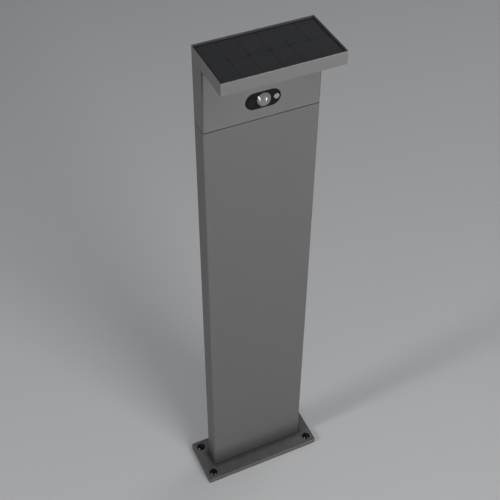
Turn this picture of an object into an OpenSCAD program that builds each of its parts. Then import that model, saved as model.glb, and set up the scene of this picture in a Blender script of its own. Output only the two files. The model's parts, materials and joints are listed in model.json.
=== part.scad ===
/* [Overall] */
// Height from the floor to the top of the head
lamp_h = 800; // [500:10:1000]
// Width of the column and of the head
body_w = 154; // [150:1:190]
// Depth of the column and of the head's upright part
body_d = 28; // [27:0.5:34]
// Reach of the roof in front of the column
roof_reach = 55.5; // [50:0.5:68]
// Height of the head, from its lower edge to its top
head_h = 104; // [100:1:130]

/* [Base plate] */
// Length of the base plate, side to side
plate_l = 195; // [190:1:240]
// Width of the base plate, front to back
plate_w = 78; // [72:1:96]
// Thickness of the base plate
plate_t = 8.5; // [7.5:0.5:12]
// Radius on the base plate's upright corners
plate_corner_r = 3; // [2:0.5:9]
// Radius on the base plate's upper edges
plate_edge_r = 1; // [0.4:0.1:2]
// Distance from each anchor hole to the plate's two nearest edges
anchor_inset = 12; // [10:0.5:14]
// Diameter of the anchor holes, for M6 screws
anchor_hole_d = 6.6; // [5.5:0.1:8]
// Diameter of the counterbores for the anchor screw heads
anchor_bore_d = 11.4; // [10:0.1:13]
// Plate left under an anchor screw's head
anchor_floor = 3.5; // [2.5:0.5:5]

/* [Anchor caps] */
// Diameter of a cap's dome
cap_d = 13; // [12.6:0.1:16]
// Height of a cap's dome above the plate
cap_h = 3.8; // [2.5:0.1:5]
// Wall of a cap's skirt
cap_wall = 1; // [0.8:0.1:1.5]

/* [Column] */
// Wall of the column extrusion
column_wall = 2; // [1.6:0.1:2.6]
// Radius on the upright outer edges of the column and the head
edge_r = 2.5; // [1:0.5:4]
// Outer diameter of the screw ports inside the column
port_d = 8; // [7.4:0.1:9.6]
// Bore of the screw ports
port_bore_d = 4.2; // [3.6:0.1:4.8]
// Thickness of the gasket under the column
foot_gasket_t = 1; // [0.6:0.1:2]

/* [Neck adapter] */
// Thickness of the flange that shows between column and head
flange_t = 1.2; // [0.8:0.1:2]
// How far that flange stays inside the outer faces
flange_inset = 0.6; // [0.3:0.1:1]
// Depth of the adapter inside the column
spigot_h = 34; // [26:1:50]
// Height of the adapter's collar inside the head
collar_h = 6; // [4:0.5:6.5]
// Wall of the adapter
adapter_wall = 2.2; // [1.6:0.1:2.8]
// Thickness of the chassis plate that stands up into the head
chassis_t = 1.6; // [1.2:0.1:2]

/* [Head housing] */
// Thickness of the roof
roof_t = 16.9; // [15.5:0.1:19]
// Wall of the upright part
hood_wall = 2.2; // [1.8:0.1:2.7]
// Floor of the roof tray
tray_floor = 2; // [1.6:0.1:2.4]
// Wall of the roof tray, which carries the panel
tray_wall = 4.8; // [4:0.1:6]
// Width of the thin rim round the panel
rim_w = 0.9; // [0.8:0.1:1.6]
// Height of the rim above the panel's face
rim_stand = 0.4; // [0.2:0.1:0.8]
// Radius on the roof's front corners
roof_corner_r = 1; // [0.6:0.1:3]
// Radius on the roof's upper and lower edges
roof_edge_r = 0.6; // [0.4:0.1:0.8]

/* [Solar panel] */
// Thickness of the cover glass
glass_t = 2.2; // [1.6:0.1:2.6]
// Thickness of the cell layer
cell_t = 0.3; // [0.2:0.1:0.4]
// Thickness of the backsheet
backsheet_t = 0.5; // [0.3:0.1:0.7]
// Thickness of the sealing bead under the panel
panel_seal_t = 0.6; // [0.4:0.1:0.8]
// Clearance between the panel and the rim
panel_gap = 0.4; // [0.2:0.1:0.6]
// Black border between the panel's edge and its cells
cell_border = 2.6; // [2:0.1:5]
// Gap between cells
cell_gap = 1.4; // [0.8:0.1:2.5]
// Cells along the panel's length
cell_columns = 6; // [4:1:8]
// Rows of cells
cell_rows = 2; // [1:1:3]

/* [Light unit] */
// Distance from the light window's long sides to the roof's front and to the column
window_margin = 10; // [9.5:0.5:14]
// Distance from the light window's ends to the roof's sides
window_end_margin = 16; // [16:0.5:30]
// Overlap of the diffuser's lip on the tray floor
lip_w = 2.5; // [1.5:0.1:2.8]
// Thickness of the diffuser's lip
lip_t = 1; // [0.8:0.1:1.4]
// Thickness of the seal under the lip
lip_seal_t = 0.5; // [0.3:0.1:0.8]
// Height of the posts that carry the heat spreader
post_h = 6.3; // [5.8:0.1:6.3]
// Thickness of the heat spreader
spreader_t = 1.5; // [1:0.1:1.5]
// Thickness of the light board
led_board_t = 1.2; // [0.8:0.1:1.6]
// Width of the light board
led_board_w = 12; // [8:0.5:20]
// Number of light-emitting diodes
led_count = 14; // [6:1:20]

/* [Sensor unit] */
// Length of the sensor window
bezel_l = 46; // [46:0.5:56]
// Height of the sensor window
bezel_h = 23; // [22:0.5:28]
// Height of the window's centre above the head's lower edge
sensor_rise = 26.2; // [25:0.5:32]
// Width of the bezel's flange behind the wall
bezel_flange = 3; // [2:0.1:4]
// Diameter of the motion sensor's lens
pir_lens_d = 18.4; // [17:0.1:18.8]
// How far the lens stands out of the window
pir_lens_h = 6; // [4:0.1:8]
// Wall of the lens
pir_lens_wall = 0.8; // [0.6:0.1:1.2]
// Diameter of the light sensor's lens
eye_d = 7; // [5:0.1:8]
// Diameter of the mode button
button_d = 10; // [8:0.1:10.2]
// Travel of the mode button
button_travel = 1; // [0.4:0.1:1.2]
// Clearance round the mode button
button_gap = 0.2; // [0.15:0.05:0.3]

/* [Control board] */
// Length of the control board
board_l = 104; // [100:1:130]
// Height of the control board
board_h = 38; // [36:0.5:39]
// Thickness of the control board
board_t = 1.6; // [1:0.1:2]
// Distance from the inside of the front wall to the board
board_stand = 8.4; // [8:0.1:9]

/* [Battery] */
// Diameter of a battery cell
battery_d = 18.4; // [14:0.1:18.6]
// Length of a battery cell
battery_l = 65; // [50:0.5:65.5]
// Wall of the battery holder
holder_wall = 1.2; // [1:0.1:1.4]

/* [Fasteners] */
// Radial clearance between a screw and its bore
screw_gap = 0.05; // [0.03:0.01:0.1]
// Diameter of a lead
lead_d = 1.2; // [0.8:0.1:1.4]

/* [Hidden] */
$fn = 64;
cut = 1; // how far a cutter runs past a face
fit = 0.3; // clearance of a sliding or seated fit

// levels, from the floor up
column_bottom = plate_t + foot_gasket_t;
head_bottom = lamp_h - head_h;
column_top = head_bottom - flange_t;
roof_bottom = lamp_h - roof_t;
tray_z = roof_bottom + tray_floor;
glass_z = lamp_h - rim_stand - glass_t;
cell_z = glass_z - cell_t;
backsheet_z = cell_z - backsheet_t;
ledge_z = backsheet_z - panel_seal_t;

// faces, the front looks towards -Y
front = -body_d / 2;
back = body_d / 2;
roof_front = front - roof_reach;
roof_mid_y = front - roof_reach / 2;
hood_x = body_w / 2 - hood_wall;
hood_y = body_d / 2 - hood_wall;
tray_x = body_w / 2 - tray_wall;
tray_front = roof_front + tray_wall;
tray_back = back - tray_wall;

// column and its screw ports
column_x = body_w / 2 - column_wall;
column_y = body_d / 2 - column_wall;
port_bite = 0.5; // depth of a port in the wall it grows from
port_x = column_x - port_d / 2 + port_bite;
port_y = column_y - port_d / 2 + port_bite;

// anchor holes and caps
anchor_x = plate_l / 2 - anchor_inset;
anchor_y = plate_w / 2 - anchor_inset;
cap_sphere_r = (pow(cap_d / 2, 2) + pow(cap_h, 2)) / (2 * cap_h);
cap_skirt_h = plate_t - anchor_floor - 0.4;

// foot screws, countersunk from below
foot_screw_d = port_bore_d - 2 * screw_gap;
foot_hole_d = 5.4;
foot_head_d = 9.4;
foot_sink = 0.3;
foot_sink_d = foot_head_d + 0.4;
foot_cone_h = (foot_sink_d - foot_hole_d) / 2;
foot_screw_l = plate_t + 14;

// joint screws through the back walls
joint_screw_d = 2.5;
joint_hole_d = 3.4;
joint_head_d = 6;
joint_x = 50;
joint_rise = 16;
joint_boss_d = 7;
joint_boss_l = 5;
joint_screw_l = 9;
joint_sink_d = joint_head_d + 0.3;
joint_sink_h = (joint_sink_d - joint_hole_d) / 2;

// neck adapter
spigot_x = port_x - port_d / 2 - 1;
spigot_y = column_y - fit;
collar_x = hood_x - fit;
collar_y = hood_y - fit;
chassis_back = hood_y - 2 * fit;
chassis_front = chassis_back - chassis_t;
chassis_x = 66.5;
chassis_top = roof_bottom - 2.5;

// solar panel
recess_x = body_w / 2 - rim_w;
recess_front = roof_front + rim_w;
recess_back = back - rim_w;
panel_x = recess_x - panel_gap;
panel_front = recess_front + panel_gap;
panel_back = recess_back - panel_gap;

// light unit
window_x = body_w / 2 - window_end_margin;
window_y = roof_reach / 2 - window_margin;
lip_x = window_x + lip_w;
lip_y = window_y + lip_w;
lip_z = tray_z + lip_seal_t;
post_d = 8;
post_x = tray_x - post_d / 2 + 0.2;
post_y = roof_reach / 4;
spreader_z = tray_z + post_h;
spreader_x = tray_x - 0.5;
spreader_y = min(lip_y + 2, roof_reach / 2 - tray_wall - 0.5);
led_board_x = window_x - 3;
led_board_z = spreader_z - led_board_t;
led_l = 3.5;
led_w = 2.8;
led_t = 0.8;
slot_l = 8;
spreader_head_h = 1.5;
post_bore_d = 2.6;
post_bore_h = 5;
spreader_screw_d = post_bore_d - 2 * screw_gap;

// sensor unit, from the front face back
sensor_z = head_bottom + sensor_rise;
bezel_front = front - 0.3;
wall_back = front + hood_wall;
bezel_gap = 0.2;
bezel_skirt = 1.5;
bezel_seal_t = 0.5;
bezel_flange_t = 1.5;
bezel_back = wall_back + bezel_seal_t + bezel_flange_t;
board_front = wall_back + board_stand;
board_back = board_front + board_t;
pir_x = 1;
pir_flange_d = pir_lens_d + 1.4;
pir_flange_t = 0.9;
pir_sphere_r = (pow(pir_lens_d / 2, 2) + pow(pir_lens_h, 2)) / (2 * pir_lens_h);
pir_bore_r = sqrt(pow(pir_sphere_r - pir_lens_wall, 2) - pow(pir_sphere_r - pir_lens_h, 2));
pir_web_t = 2.5;
can_d = 9.2;
can_h = 4.2;
eye_x = 17.4;
button_x = -14.8;
button_proud = 0.5;
button_flange_d = button_d + 1.2;
button_flange_t = 0.85;
button_rest_gap = 0.05;
stem_d = 4;
stem_l = 0.6;
ring_groove_y = bezel_front + 2;
ring_d = 0.8;
ring_inner_d = button_d + 2 * button_gap - 2 * ring_d - 0.1;
photocell_front = board_front - 2.2;
switch_l = 6;
switch_h = 3.5;
plunger_d = 3.4;
button_back = bezel_back + button_rest_gap + button_flange_t + stem_l;

// control board
board_boss_d = 6.4;
board_boss_x = board_l / 2 - 5;
board_boss_z = board_h / 2 - 4.5;
board_bore_d = 2.1;
board_screw_d = board_bore_d - 2 * screw_gap;
socket_x = 40;
socket_size = [7.5, 4.5, 6];
socket_top = sensor_z + board_h / 2 - 2.2;
socket_y = board_back + socket_size[1] / 2;
wire_pitch = 2;

// battery, its cells lie end to end along X
cell_end_gap = 0.4;
contact_t = 0.4;
contact_l = 12;
battery_y = chassis_front - holder_wall - battery_d / 2;
battery_z = roof_bottom - 16.5;
cell_outer_x = cell_end_gap + battery_l;
contact_x = cell_outer_x + 0.1;
holder_in_x = contact_x + contact_t + 0.1;
holder_x = holder_in_x + 1.5;
channel_in_r = battery_d / 2 + 0.2;
channel_r = channel_in_r + holder_wall;
channel_mouth = 35; // degrees that the channel closes past the cell's top and bottom
holder_foot_z = battery_z - channel_r - 5;
holder_screw_x = 30;
holder_screw_z = holder_foot_z + 2.6;

// leads: clear lane beside the battery, and their end points
lane_x = hood_x - 4.3;
lead_run_z = ledge_z - 0.8;
battery_lead_y = battery_y + 3.8;
battery_lead_z = battery_z - 5;

// ---------- shapes shared by several pieces ----------

module block(low, high) {
  translate(low) cube(high - low);
}

module z_slab(low, high) {
  translate([0, 0, low]) linear_extrude(high - low) children();
}

// a flat shape drawn in X and Z, given a depth along Y
module y_slab(low, high) {
  translate([0, high, 0]) rotate([90, 0, 0]) linear_extrude(high - low) children();
}

// a flat shape drawn in Y and Z, given a length along X
module x_slab(low, high) {
  translate([low, 0, 0]) rotate([90, 0, 90]) linear_extrude(high - low) children();
}

module z_rod(x, y, low, high, d) {
  translate([x, y, low]) cylinder(h = high - low, d = d);
}

module y_rod(x, z, low, high, d) {
  translate([x, low, z]) rotate([-90, 0, 0]) cylinder(h = high - low, d = d);
}

module y_cone(x, z, low, high, d_low, d_high) {
  translate([x, low, z]) rotate([-90, 0, 0]) cylinder(h = high - low, d1 = d_low, d2 = d_high);
}

module rounded_rect(w, d, r) {
  square([w - 2 * r, d], center = true);
  square([w, d - 2 * r], center = true);
  for (sx = [-1, 1], sy = [-1, 1])
    translate([sx * (w / 2 - r), sy * (d / 2 - r)]) circle(r);
}

module stadium(l, h) {
  square([l - h, h], center = true);
  for (s = [-1, 1])
    translate([s * (l - h) / 2, 0]) circle(d = h);
}

// a frame with its middle cut out, both given as half sizes about one centre
module flat_frame(outer, inner) {
  difference() {
    square(2 * outer, center = true);
    square(2 * inner, center = true);
  }
}

module at_corners(x, y) {
  for (sx = [-1, 1], sy = [-1, 1])
    translate([sx * x, sy * y, 0]) children();
}

module at_sides(x) {
  for (s = [-1, 1])
    translate([s * x, 0, 0]) children();
}

// the four screw places of the control board, in X and Z
module at_board_screws() {
  for (sx = [-1, 1], sz = [-1, 1])
    translate([sx * board_boss_x, 0, sensor_z + sz * board_boss_z]) children();
}

// ---------- base ----------

module plate_blank() {
  intersection() {
    z_slab(0, plate_t) rounded_rect(plate_l, plate_w, plate_corner_r);
    x_slab(-plate_l / 2, plate_l / 2) rounded_rect(plate_w, 2 * plate_t, plate_edge_r);
    y_slab(-plate_w / 2, plate_w / 2) rounded_rect(plate_l, 2 * plate_t, plate_edge_r);
  }
}

module base_plate() color("#4a4b4a") difference() {
  plate_blank();
  at_corners(anchor_x, anchor_y) {
    z_rod(0, 0, -cut, plate_t + cut, anchor_hole_d);
    z_rod(0, 0, anchor_floor, plate_t + cut, anchor_bore_d);
  }
  at_corners(port_x, port_y) {
    z_rod(0, 0, -cut, plate_t + cut, foot_hole_d);
    z_rod(0, 0, -cut, foot_sink, foot_sink_d);
    translate([0, 0, foot_sink]) cylinder(h = foot_cone_h, d1 = foot_sink_d, d2 = foot_hole_d);
  }
}

module anchor_caps() color("#161617") at_corners(anchor_x, anchor_y) difference() {
  union() {
    intersection() {
      translate([0, 0, plate_t + cap_h - cap_sphere_r]) sphere(cap_sphere_r);
      z_rod(0, 0, plate_t, plate_t + cap_h + cut, cap_d);
    }
    z_rod(0, 0, plate_t - cap_skirt_h, plate_t + cap_wall, anchor_bore_d - 0.2);
  }
  z_rod(0, 0, plate_t - cap_skirt_h - cut, plate_t + 1.4, anchor_bore_d - 0.2 - 2 * cap_wall);
}

module foot_screws() color("#9a9c9e") at_corners(port_x, port_y) difference() {
  union() {
    translate([0, 0, foot_sink])
      cylinder(h = (foot_head_d - foot_screw_d) / 2, d1 = foot_head_d, d2 = foot_screw_d);
    z_rod(0, 0, foot_sink + 0.5, foot_screw_l, foot_screw_d);
  }
  translate([0, 0, foot_sink - cut]) cylinder(h = cut + 1.6, d = 3.4, $fn = 6);
}

module foot_gasket() color("#1c1c1d") difference() {
  z_slab(plate_t, column_bottom)
    rounded_rect(body_w - 2 * flange_inset, body_d - 2 * flange_inset, edge_r);
  block([1 - spigot_x, port_d - column_y, plate_t - cut],
        [spigot_x - 1, column_y - port_d, column_bottom + cut]);
  at_corners(port_x, port_y) z_rod(0, 0, plate_t - cut, column_bottom + cut, foot_hole_d);
}

// ---------- column ----------

// a countersunk hole through a back wall, its outer face at the back
module joint_hole(z) {
  at_sides(joint_x) {
    y_rod(0, z, back - 2 * joint_boss_l, back + cut, joint_hole_d);
    y_cone(0, z, back - joint_sink_h, back, joint_hole_d, joint_sink_d);
  }
}

// the countersunk screws of one joint
module joint_screws(z) {
  at_sides(joint_x) difference() {
    union() {
      y_cone(0, z, back - (joint_head_d - joint_screw_d) / 2 - 0.1, back - 0.1, joint_screw_d, joint_head_d);
      y_rod(0, z, back - joint_screw_l, back - 0.5, joint_screw_d);
    }
    translate([0, back + cut, z]) rotate([90, 0, 0]) cylinder(h = cut + 1.3, d = 2.2, $fn = 6);
  }
}

module column() color("#5c5d5c") difference() {
  z_slab(column_bottom, column_top) difference() {
    rounded_rect(body_w, body_d, edge_r);
    difference() {
      square([2 * column_x, 2 * column_y], center = true);
      for (sx = [-1, 1], sy = [-1, 1])
        translate([sx * port_x, sy * port_y]) circle(d = port_d);
    }
    for (sx = [-1, 1], sy = [-1, 1])
      translate([sx * port_x, sy * port_y]) circle(d = port_bore_d);
  }
  joint_hole(column_top - joint_rise);
}

module column_joint_screws() color("#9a9c9e") joint_screws(column_top - joint_rise);

// ---------- neck ----------

module adapter_shell() {
  difference() {
    union() {
      z_slab(column_top, head_bottom)
        rounded_rect(body_w - 2 * flange_inset, body_d - 2 * flange_inset, edge_r);
      block([-spigot_x, -spigot_y, column_top - spigot_h], [spigot_x, spigot_y, column_top]);
      block([-collar_x, -collar_y, head_bottom], [collar_x, collar_y, head_bottom + collar_h]);
    }
    block([adapter_wall - spigot_x, adapter_wall - spigot_y, column_top - spigot_h - cut],
          [spigot_x - adapter_wall, spigot_y - adapter_wall, head_bottom + cut]);
    block([adapter_wall - collar_x, adapter_wall - collar_y, head_bottom],
          [collar_x - adapter_wall, collar_y - adapter_wall, head_bottom + collar_h + cut]);
  }
}

module neck_adapter() color("#1b1b1c") difference() {
  union() {
    adapter_shell();
    block([-chassis_x, chassis_front, head_bottom], [chassis_x, chassis_back, chassis_top]);
    at_sides(joint_x) {
      y_rod(0, column_top - joint_rise, spigot_y - adapter_wall - joint_boss_l, spigot_y, joint_boss_d);
      y_rod(0, head_bottom + joint_rise, chassis_front - joint_boss_l, chassis_back, joint_boss_d);
    }
  }
  for (z = [column_top - joint_rise, head_bottom + joint_rise])
    at_sides(joint_x) y_rod(0, z, -cut, back, joint_screw_d + 2 * screw_gap);
  at_sides(holder_screw_x)
    y_rod(0, holder_screw_z, chassis_front - cut, back, board_bore_d);
}

// ---------- head ----------

// the roof's back corners are rounded like the upright part's
module roof_outline() {
  roof_d = back - roof_front;
  translate([0, (roof_front + back) / 2]) intersection() {
    rounded_rect(body_w, roof_d, roof_corner_r);
    translate([0, -edge_r]) rounded_rect(body_w, roof_d + 2 * edge_r, edge_r);
  }
}

module roof_blank() {
  intersection() {
    z_slab(roof_bottom, lamp_h) roof_outline();
    x_slab(-body_w / 2, body_w / 2)
      translate([(roof_front + back) / 2, (roof_bottom + lamp_h) / 2])
        rounded_rect(back - roof_front, roof_t, roof_edge_r);
    y_slab(roof_front, back)
      translate([0, (roof_bottom + lamp_h) / 2]) rounded_rect(body_w, roof_t, roof_edge_r);
  }
}

module head_shell() {
  difference() {
    union() {
      roof_blank();
      z_slab(head_bottom, roof_bottom + 2 * roof_edge_r) rounded_rect(body_w, body_d, edge_r);
    }
    block([-hood_x, -hood_y, head_bottom - cut], [hood_x, hood_y, roof_bottom]);
    block([-tray_x, -hood_y, roof_bottom - cut], [tray_x, tray_back, tray_z + cut]);
    block([-tray_x, tray_front, tray_z], [tray_x, tray_back, ledge_z + cut]);
    block([-recess_x, recess_front, ledge_z], [recess_x, recess_back, lamp_h + cut]);
  }
}

module head_housing() color("#5c5d5c") difference() {
  union() {
    head_shell();
    translate([0, roof_mid_y, 0])
      at_corners(post_x, post_y) z_rod(0, 0, tray_z - cut / 2, spreader_z, post_d);
    at_board_screws() y_rod(0, 0, wall_back - cut, board_front, board_boss_d);
  }
  translate([0, roof_mid_y, 0]) {
    z_slab(roof_bottom - cut, tray_z + cut)
      square([2 * (window_x + fit), 2 * (window_y + fit)], center = true);
    at_corners(post_x, post_y) z_rod(0, 0, spreader_z - post_bore_h - 0.5, spreader_z + cut, post_bore_d);
  }
  y_slab(front - cut, wall_back + cut / 2)
    translate([0, sensor_z]) stadium(bezel_l + 2 * bezel_gap, bezel_h + 2 * bezel_gap);
  at_board_screws() y_rod(0, 0, board_front - 6.5, board_front + cut, board_bore_d);
  joint_hole(head_bottom + joint_rise);
}

module head_joint_screws() color("#9a9c9e") joint_screws(head_bottom + joint_rise);

// ---------- solar panel ----------

module panel_sheet(low, high, inset) {
  block([inset - panel_x, panel_front + inset, low], [panel_x - inset, panel_back - inset, high]);
}

module panel_glass() color("#25262a") panel_sheet(glass_z, glass_z + glass_t, 0);

module panel_backsheet() color("#101012") panel_sheet(backsheet_z, cell_z, 0);

module solar_cells() {
  cell_l = (2 * (panel_x - cell_border) - (cell_columns - 1) * cell_gap) / cell_columns;
  cell_w = (panel_back - panel_front - 2 * cell_border - (cell_rows - 1) * cell_gap) / cell_rows;
  color("#1b1d26")
    for (column = [0 : cell_columns - 1], row = [0 : cell_rows - 1])
      translate([cell_border - panel_x + column * (cell_l + cell_gap),
                 panel_front + cell_border + row * (cell_w + cell_gap), cell_z])
        cube([cell_l, cell_w, cell_t]);
}

module panel_seal() color("#1c1c1d") difference() {
  panel_sheet(ledge_z, backsheet_z, 0);
  block([0.5 - tray_x, tray_front - 0.5, ledge_z - cut], [tray_x - 0.5, tray_back + 0.5, backsheet_z + cut]);
}

// ---------- light unit ----------

module heat_spreader() color("#b9bbbd") translate([0, roof_mid_y, 0]) difference() {
  block([-spreader_x, -spreader_y, spreader_z], [spreader_x, spreader_y, spreader_z + spreader_t]);
  at_corners(post_x, post_y)
    z_rod(0, 0, spreader_z - cut, spreader_z + spreader_t + cut, post_bore_d + 0.8);
  block([led_board_x - slot_l, -slot_l / 2, spreader_z - cut],
        [led_board_x, slot_l / 2, spreader_z + spreader_t + cut]);
}

module spreader_screws() color("#9a9c9e") translate([0, roof_mid_y, 0])
  at_corners(post_x, post_y) difference() {
    union() {
      z_rod(0, 0, spreader_z + spreader_t, spreader_z + spreader_t + spreader_head_h, 5.5);
      z_rod(0, 0, spreader_z + spreader_t - 6, spreader_z + spreader_t + 0.5, spreader_screw_d);
    }
    translate([0, 0, spreader_z + spreader_t + 0.5]) cylinder(h = 4, d = 2.6, $fn = 6);
  }

module led_board() color("#e6e6e0") translate([0, roof_mid_y, 0])
  block([-led_board_x, -led_board_w / 2, led_board_z], [led_board_x, led_board_w / 2, spreader_z]);

module led_chips() {
  pitch = 2 * (led_board_x - led_l - 2) / (led_count - 1);
  color("#f2e3a0")
    for (i = [0 : led_count - 1])
      translate([(i - (led_count - 1) / 2) * pitch - led_l / 2, roof_mid_y - led_w / 2, led_board_z - led_t])
        cube([led_l, led_w, led_t]);
}

module reflector() color("#f0f0ee") translate([0, roof_mid_y, 0])
  z_slab(lip_z + lip_t, spreader_z) flat_frame([lip_x - 0.5, lip_y - 0.5], [window_x, window_y]);

module diffuser() color("#e9e9e4") translate([0, roof_mid_y, 0]) {
  z_slab(roof_bottom + 0.3, lip_z + lip_t / 2) square([2 * window_x, 2 * window_y], center = true);
  z_slab(lip_z, lip_z + lip_t) square([2 * lip_x, 2 * lip_y], center = true);
}

module diffuser_seal() color("#1c1c1d") translate([0, roof_mid_y, 0])
  z_slab(tray_z, lip_z) flat_frame([lip_x, lip_y], [window_x + fit, window_y + fit]);

// ---------- sensor unit ----------

module bezel_outline(grow) {
  translate([0, sensor_z]) stadium(bezel_l + 2 * grow, bezel_h + 2 * grow);
}

module sensor_bezel() color("#0d0d0e") difference() {
  union() {
    y_slab(bezel_front, bezel_back - bezel_flange_t / 2) bezel_outline(0);
    y_slab(bezel_back - bezel_flange_t, board_front) bezel_outline(bezel_flange);
  }
  y_slab(bezel_back, board_front + cut) bezel_outline(bezel_flange - bezel_skirt);
  y_rod(pir_x, sensor_z, bezel_front - cut, bezel_back + cut, pir_lens_d + 2 * bezel_gap);
  y_rod(eye_x, sensor_z, bezel_front - cut, bezel_back + cut, eye_d + 2 * bezel_gap);
  y_rod(button_x, sensor_z, bezel_front - cut, bezel_back + cut, button_d + 2 * button_gap);
}

module bezel_seal() color("#1c1c1d") y_slab(wall_back, wall_back + bezel_seal_t)
  difference() {
    bezel_outline(bezel_flange);
    bezel_outline(0.5);
  }

// half of the lens's section: X is the radius, Y the height above the window
module pir_section() {
  depth = bezel_back - bezel_front;
  difference() {
    union() {
      pir_cap(pir_sphere_r, pir_lens_d / 2);
      translate([0, -depth]) square([pir_lens_d / 2, depth]);
      translate([0, -depth - pir_flange_t]) square([pir_flange_d / 2, pir_flange_t]);
    }
    pir_cap(pir_sphere_r - pir_lens_wall, pir_bore_r);
    translate([0, -depth - pir_flange_t - cut]) square([pir_bore_r, depth + pir_flange_t + cut]);
  }
}

module pir_cap(r, half_width) {
  intersection() {
    translate([0, pir_lens_h - pir_sphere_r]) circle(r);
    square([half_width, pir_lens_h + cut]);
  }
}

module pir_lens() color("#c9c9c6")
  translate([pir_x, bezel_front, sensor_z]) rotate([90, 0, 0]) rotate_extrude() pir_section();

module pir_spacer() color("#1b1b1c") difference() {
  y_rod(pir_x, sensor_z, bezel_back + pir_flange_t, board_front, pir_flange_d);
  y_rod(pir_x, sensor_z, bezel_back, board_front - pir_web_t, 2 * pir_bore_r);
}

module pir_sensor() color("#a8a59c") difference() {
  union() {
    y_rod(pir_x, sensor_z, board_front - pir_web_t - can_h, board_front - pir_web_t, can_d - 1);
    y_rod(pir_x, sensor_z, board_front - pir_web_t - 0.6, board_front - pir_web_t, can_d);
  }
  translate([pir_x - 2, board_front - pir_web_t - can_h - cut, sensor_z - 1.5]) cube([4, cut + 0.3, 3]);
}

module light_eye() color("#dedcd4") difference() {
  union() {
    y_rod(eye_x, sensor_z, bezel_front - 0.3, bezel_back, eye_d);
    y_rod(eye_x, sensor_z, bezel_back, bezel_back + 0.8, eye_d + 1.6);
    y_rod(eye_x, sensor_z, bezel_back, photocell_front - 0.3, 3);
  }
  y_rod(eye_x, sensor_z, bezel_front - cut, bezel_front + 0.5, 2.2);
}

module photocell() color("#3a2f28") {
  y_rod(eye_x, sensor_z, photocell_front, board_front, 3);
}

module mode_button() color("#141415") difference() {
  union() {
    y_rod(button_x, sensor_z, bezel_front - button_proud, bezel_back + button_rest_gap + 0.1, button_d);
    y_rod(button_x, sensor_z, bezel_back + button_rest_gap, button_back - stem_l, button_flange_d);
    y_rod(button_x, sensor_z, button_back - stem_l - 0.1, button_back, stem_d);
  }
  translate([button_x, ring_groove_y, sensor_z]) button_groove(ring_d / 2 + 0.05);
  translate([button_x, bezel_front - button_proud - 6.1, sensor_z]) sphere(6.5);
}

module button_groove(half) {
  difference() {
    y_rod(0, 0, -half, half, button_d + cut);
    y_rod(0, 0, -half - cut, half + cut, ring_inner_d);
  }
}

module button_ring() color("#262627")
  translate([button_x, ring_groove_y, sensor_z]) rotate([90, 0, 0])
    rotate_extrude() translate([ring_inner_d / 2 + ring_d / 2 + 0.02, 0]) circle(d = ring_d);

module tact_switch() color("#2b2b2d") difference() {
  block([button_x - switch_l / 2, board_front - switch_h, sensor_z - switch_l / 2],
        [button_x + switch_l / 2, board_front, sensor_z + switch_l / 2]);
  y_rod(button_x, sensor_z, board_front - switch_h - cut, board_front - 0.2, plunger_d + 2 * screw_gap);
}

module switch_plunger() color("#c8c4b8")
  y_rod(button_x, sensor_z, button_back, board_front - 0.2 - button_travel - 0.4, plunger_d);

// ---------- control board ----------

module control_board() color("#1f5a34") difference() {
  block([-board_l / 2, board_front, sensor_z - board_h / 2],
        [board_l / 2, board_back, sensor_z + board_h / 2]);
  at_board_screws() y_rod(0, 0, board_front - cut, board_back + cut, board_bore_d + 0.6);
}

module board_screws() color("#9a9c9e") at_board_screws() difference() {
  union() {
    y_rod(0, 0, board_back, board_back + 1.5, 4.5);
    y_rod(0, 0, board_back - 7.5, board_back + 0.5, board_screw_d);
  }
  translate([0, board_back + 1.5 + cut, 0]) rotate([90, 0, 0]) cylinder(h = cut + 1, d = 2.2, $fn = 6);
}

// what stands on the back of the board: two chips, a coil and two capacitors
module board_parts() {
  color("#1a1a1b") {
    translate([-24, board_back, sensor_z - 8]) cube([6, 1.6, 5]);
    translate([18, board_back, sensor_z - 4]) cube([5, 1.6, 4]);
  }
  color("#3b3b3e") translate([-8, board_back, sensor_z - 6]) cube([7, 4.2, 7]);
  color("#8e9094")
    for (x = [6, 32])
      y_rod(x, sensor_z - 8, board_back, board_back + 6.5, 6.3);
}

module lead_sockets() color("#ece8da")
  for (x = [-socket_x, 0, socket_x])
    translate([x - socket_size[0] / 2, board_back, socket_top - socket_size[2]]) cube(socket_size);

// ---------- battery ----------

module battery_cells() color("#2f5f9e")
  for (s = [-1, 1])
    translate([s > 0 ? cell_end_gap : -cell_outer_x, battery_y, battery_z])
      rotate([0, 90, 0]) cylinder(h = battery_l, d = battery_d);

// the channel's cross-section in Y and Z: a ring open towards the front and trimmed at its foot
module channel_section() {
  reach = 2 * channel_r;
  translate([battery_y, battery_z]) difference() {
    circle(channel_r);
    circle(channel_in_r);
    translate([battery_d / 2 + holder_wall / 2, -reach]) square(2 * reach);
    polygon([[0, 0], [-reach * sin(channel_mouth), reach * cos(channel_mouth)], [-reach, reach],
             [-reach, -reach], [-reach * sin(channel_mouth), -reach * cos(channel_mouth)]]);
  }
}

module battery_holder() color("#1b1b1c") difference() {
  union() {
    for (s = [-1, 1])
      x_slab(s * cell_outer_x / 2 - 22, s * cell_outer_x / 2 + 22) channel_section();
    block([-holder_x, chassis_front - holder_wall, holder_foot_z],
          [holder_x, chassis_front, battery_z + channel_r]);
    for (s = [-1, 1])
      block([s > 0 ? holder_in_x : -holder_x, battery_y - battery_d / 2, battery_z - channel_r],
            [s > 0 ? holder_x : -holder_in_x, chassis_front, battery_z + channel_r]);
  }
  for (s = [-1, 1])
    translate([s * holder_in_x, battery_lead_y, battery_lead_z])
      rotate([0, s * 90, 0]) translate([0, 0, -cut]) cylinder(h = 4 * cut, d = lead_d + 0.6);
  at_sides(holder_screw_x)
    y_rod(0, holder_screw_z, chassis_front - holder_wall - cut, chassis_front + cut, board_bore_d + 0.4);
}

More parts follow.
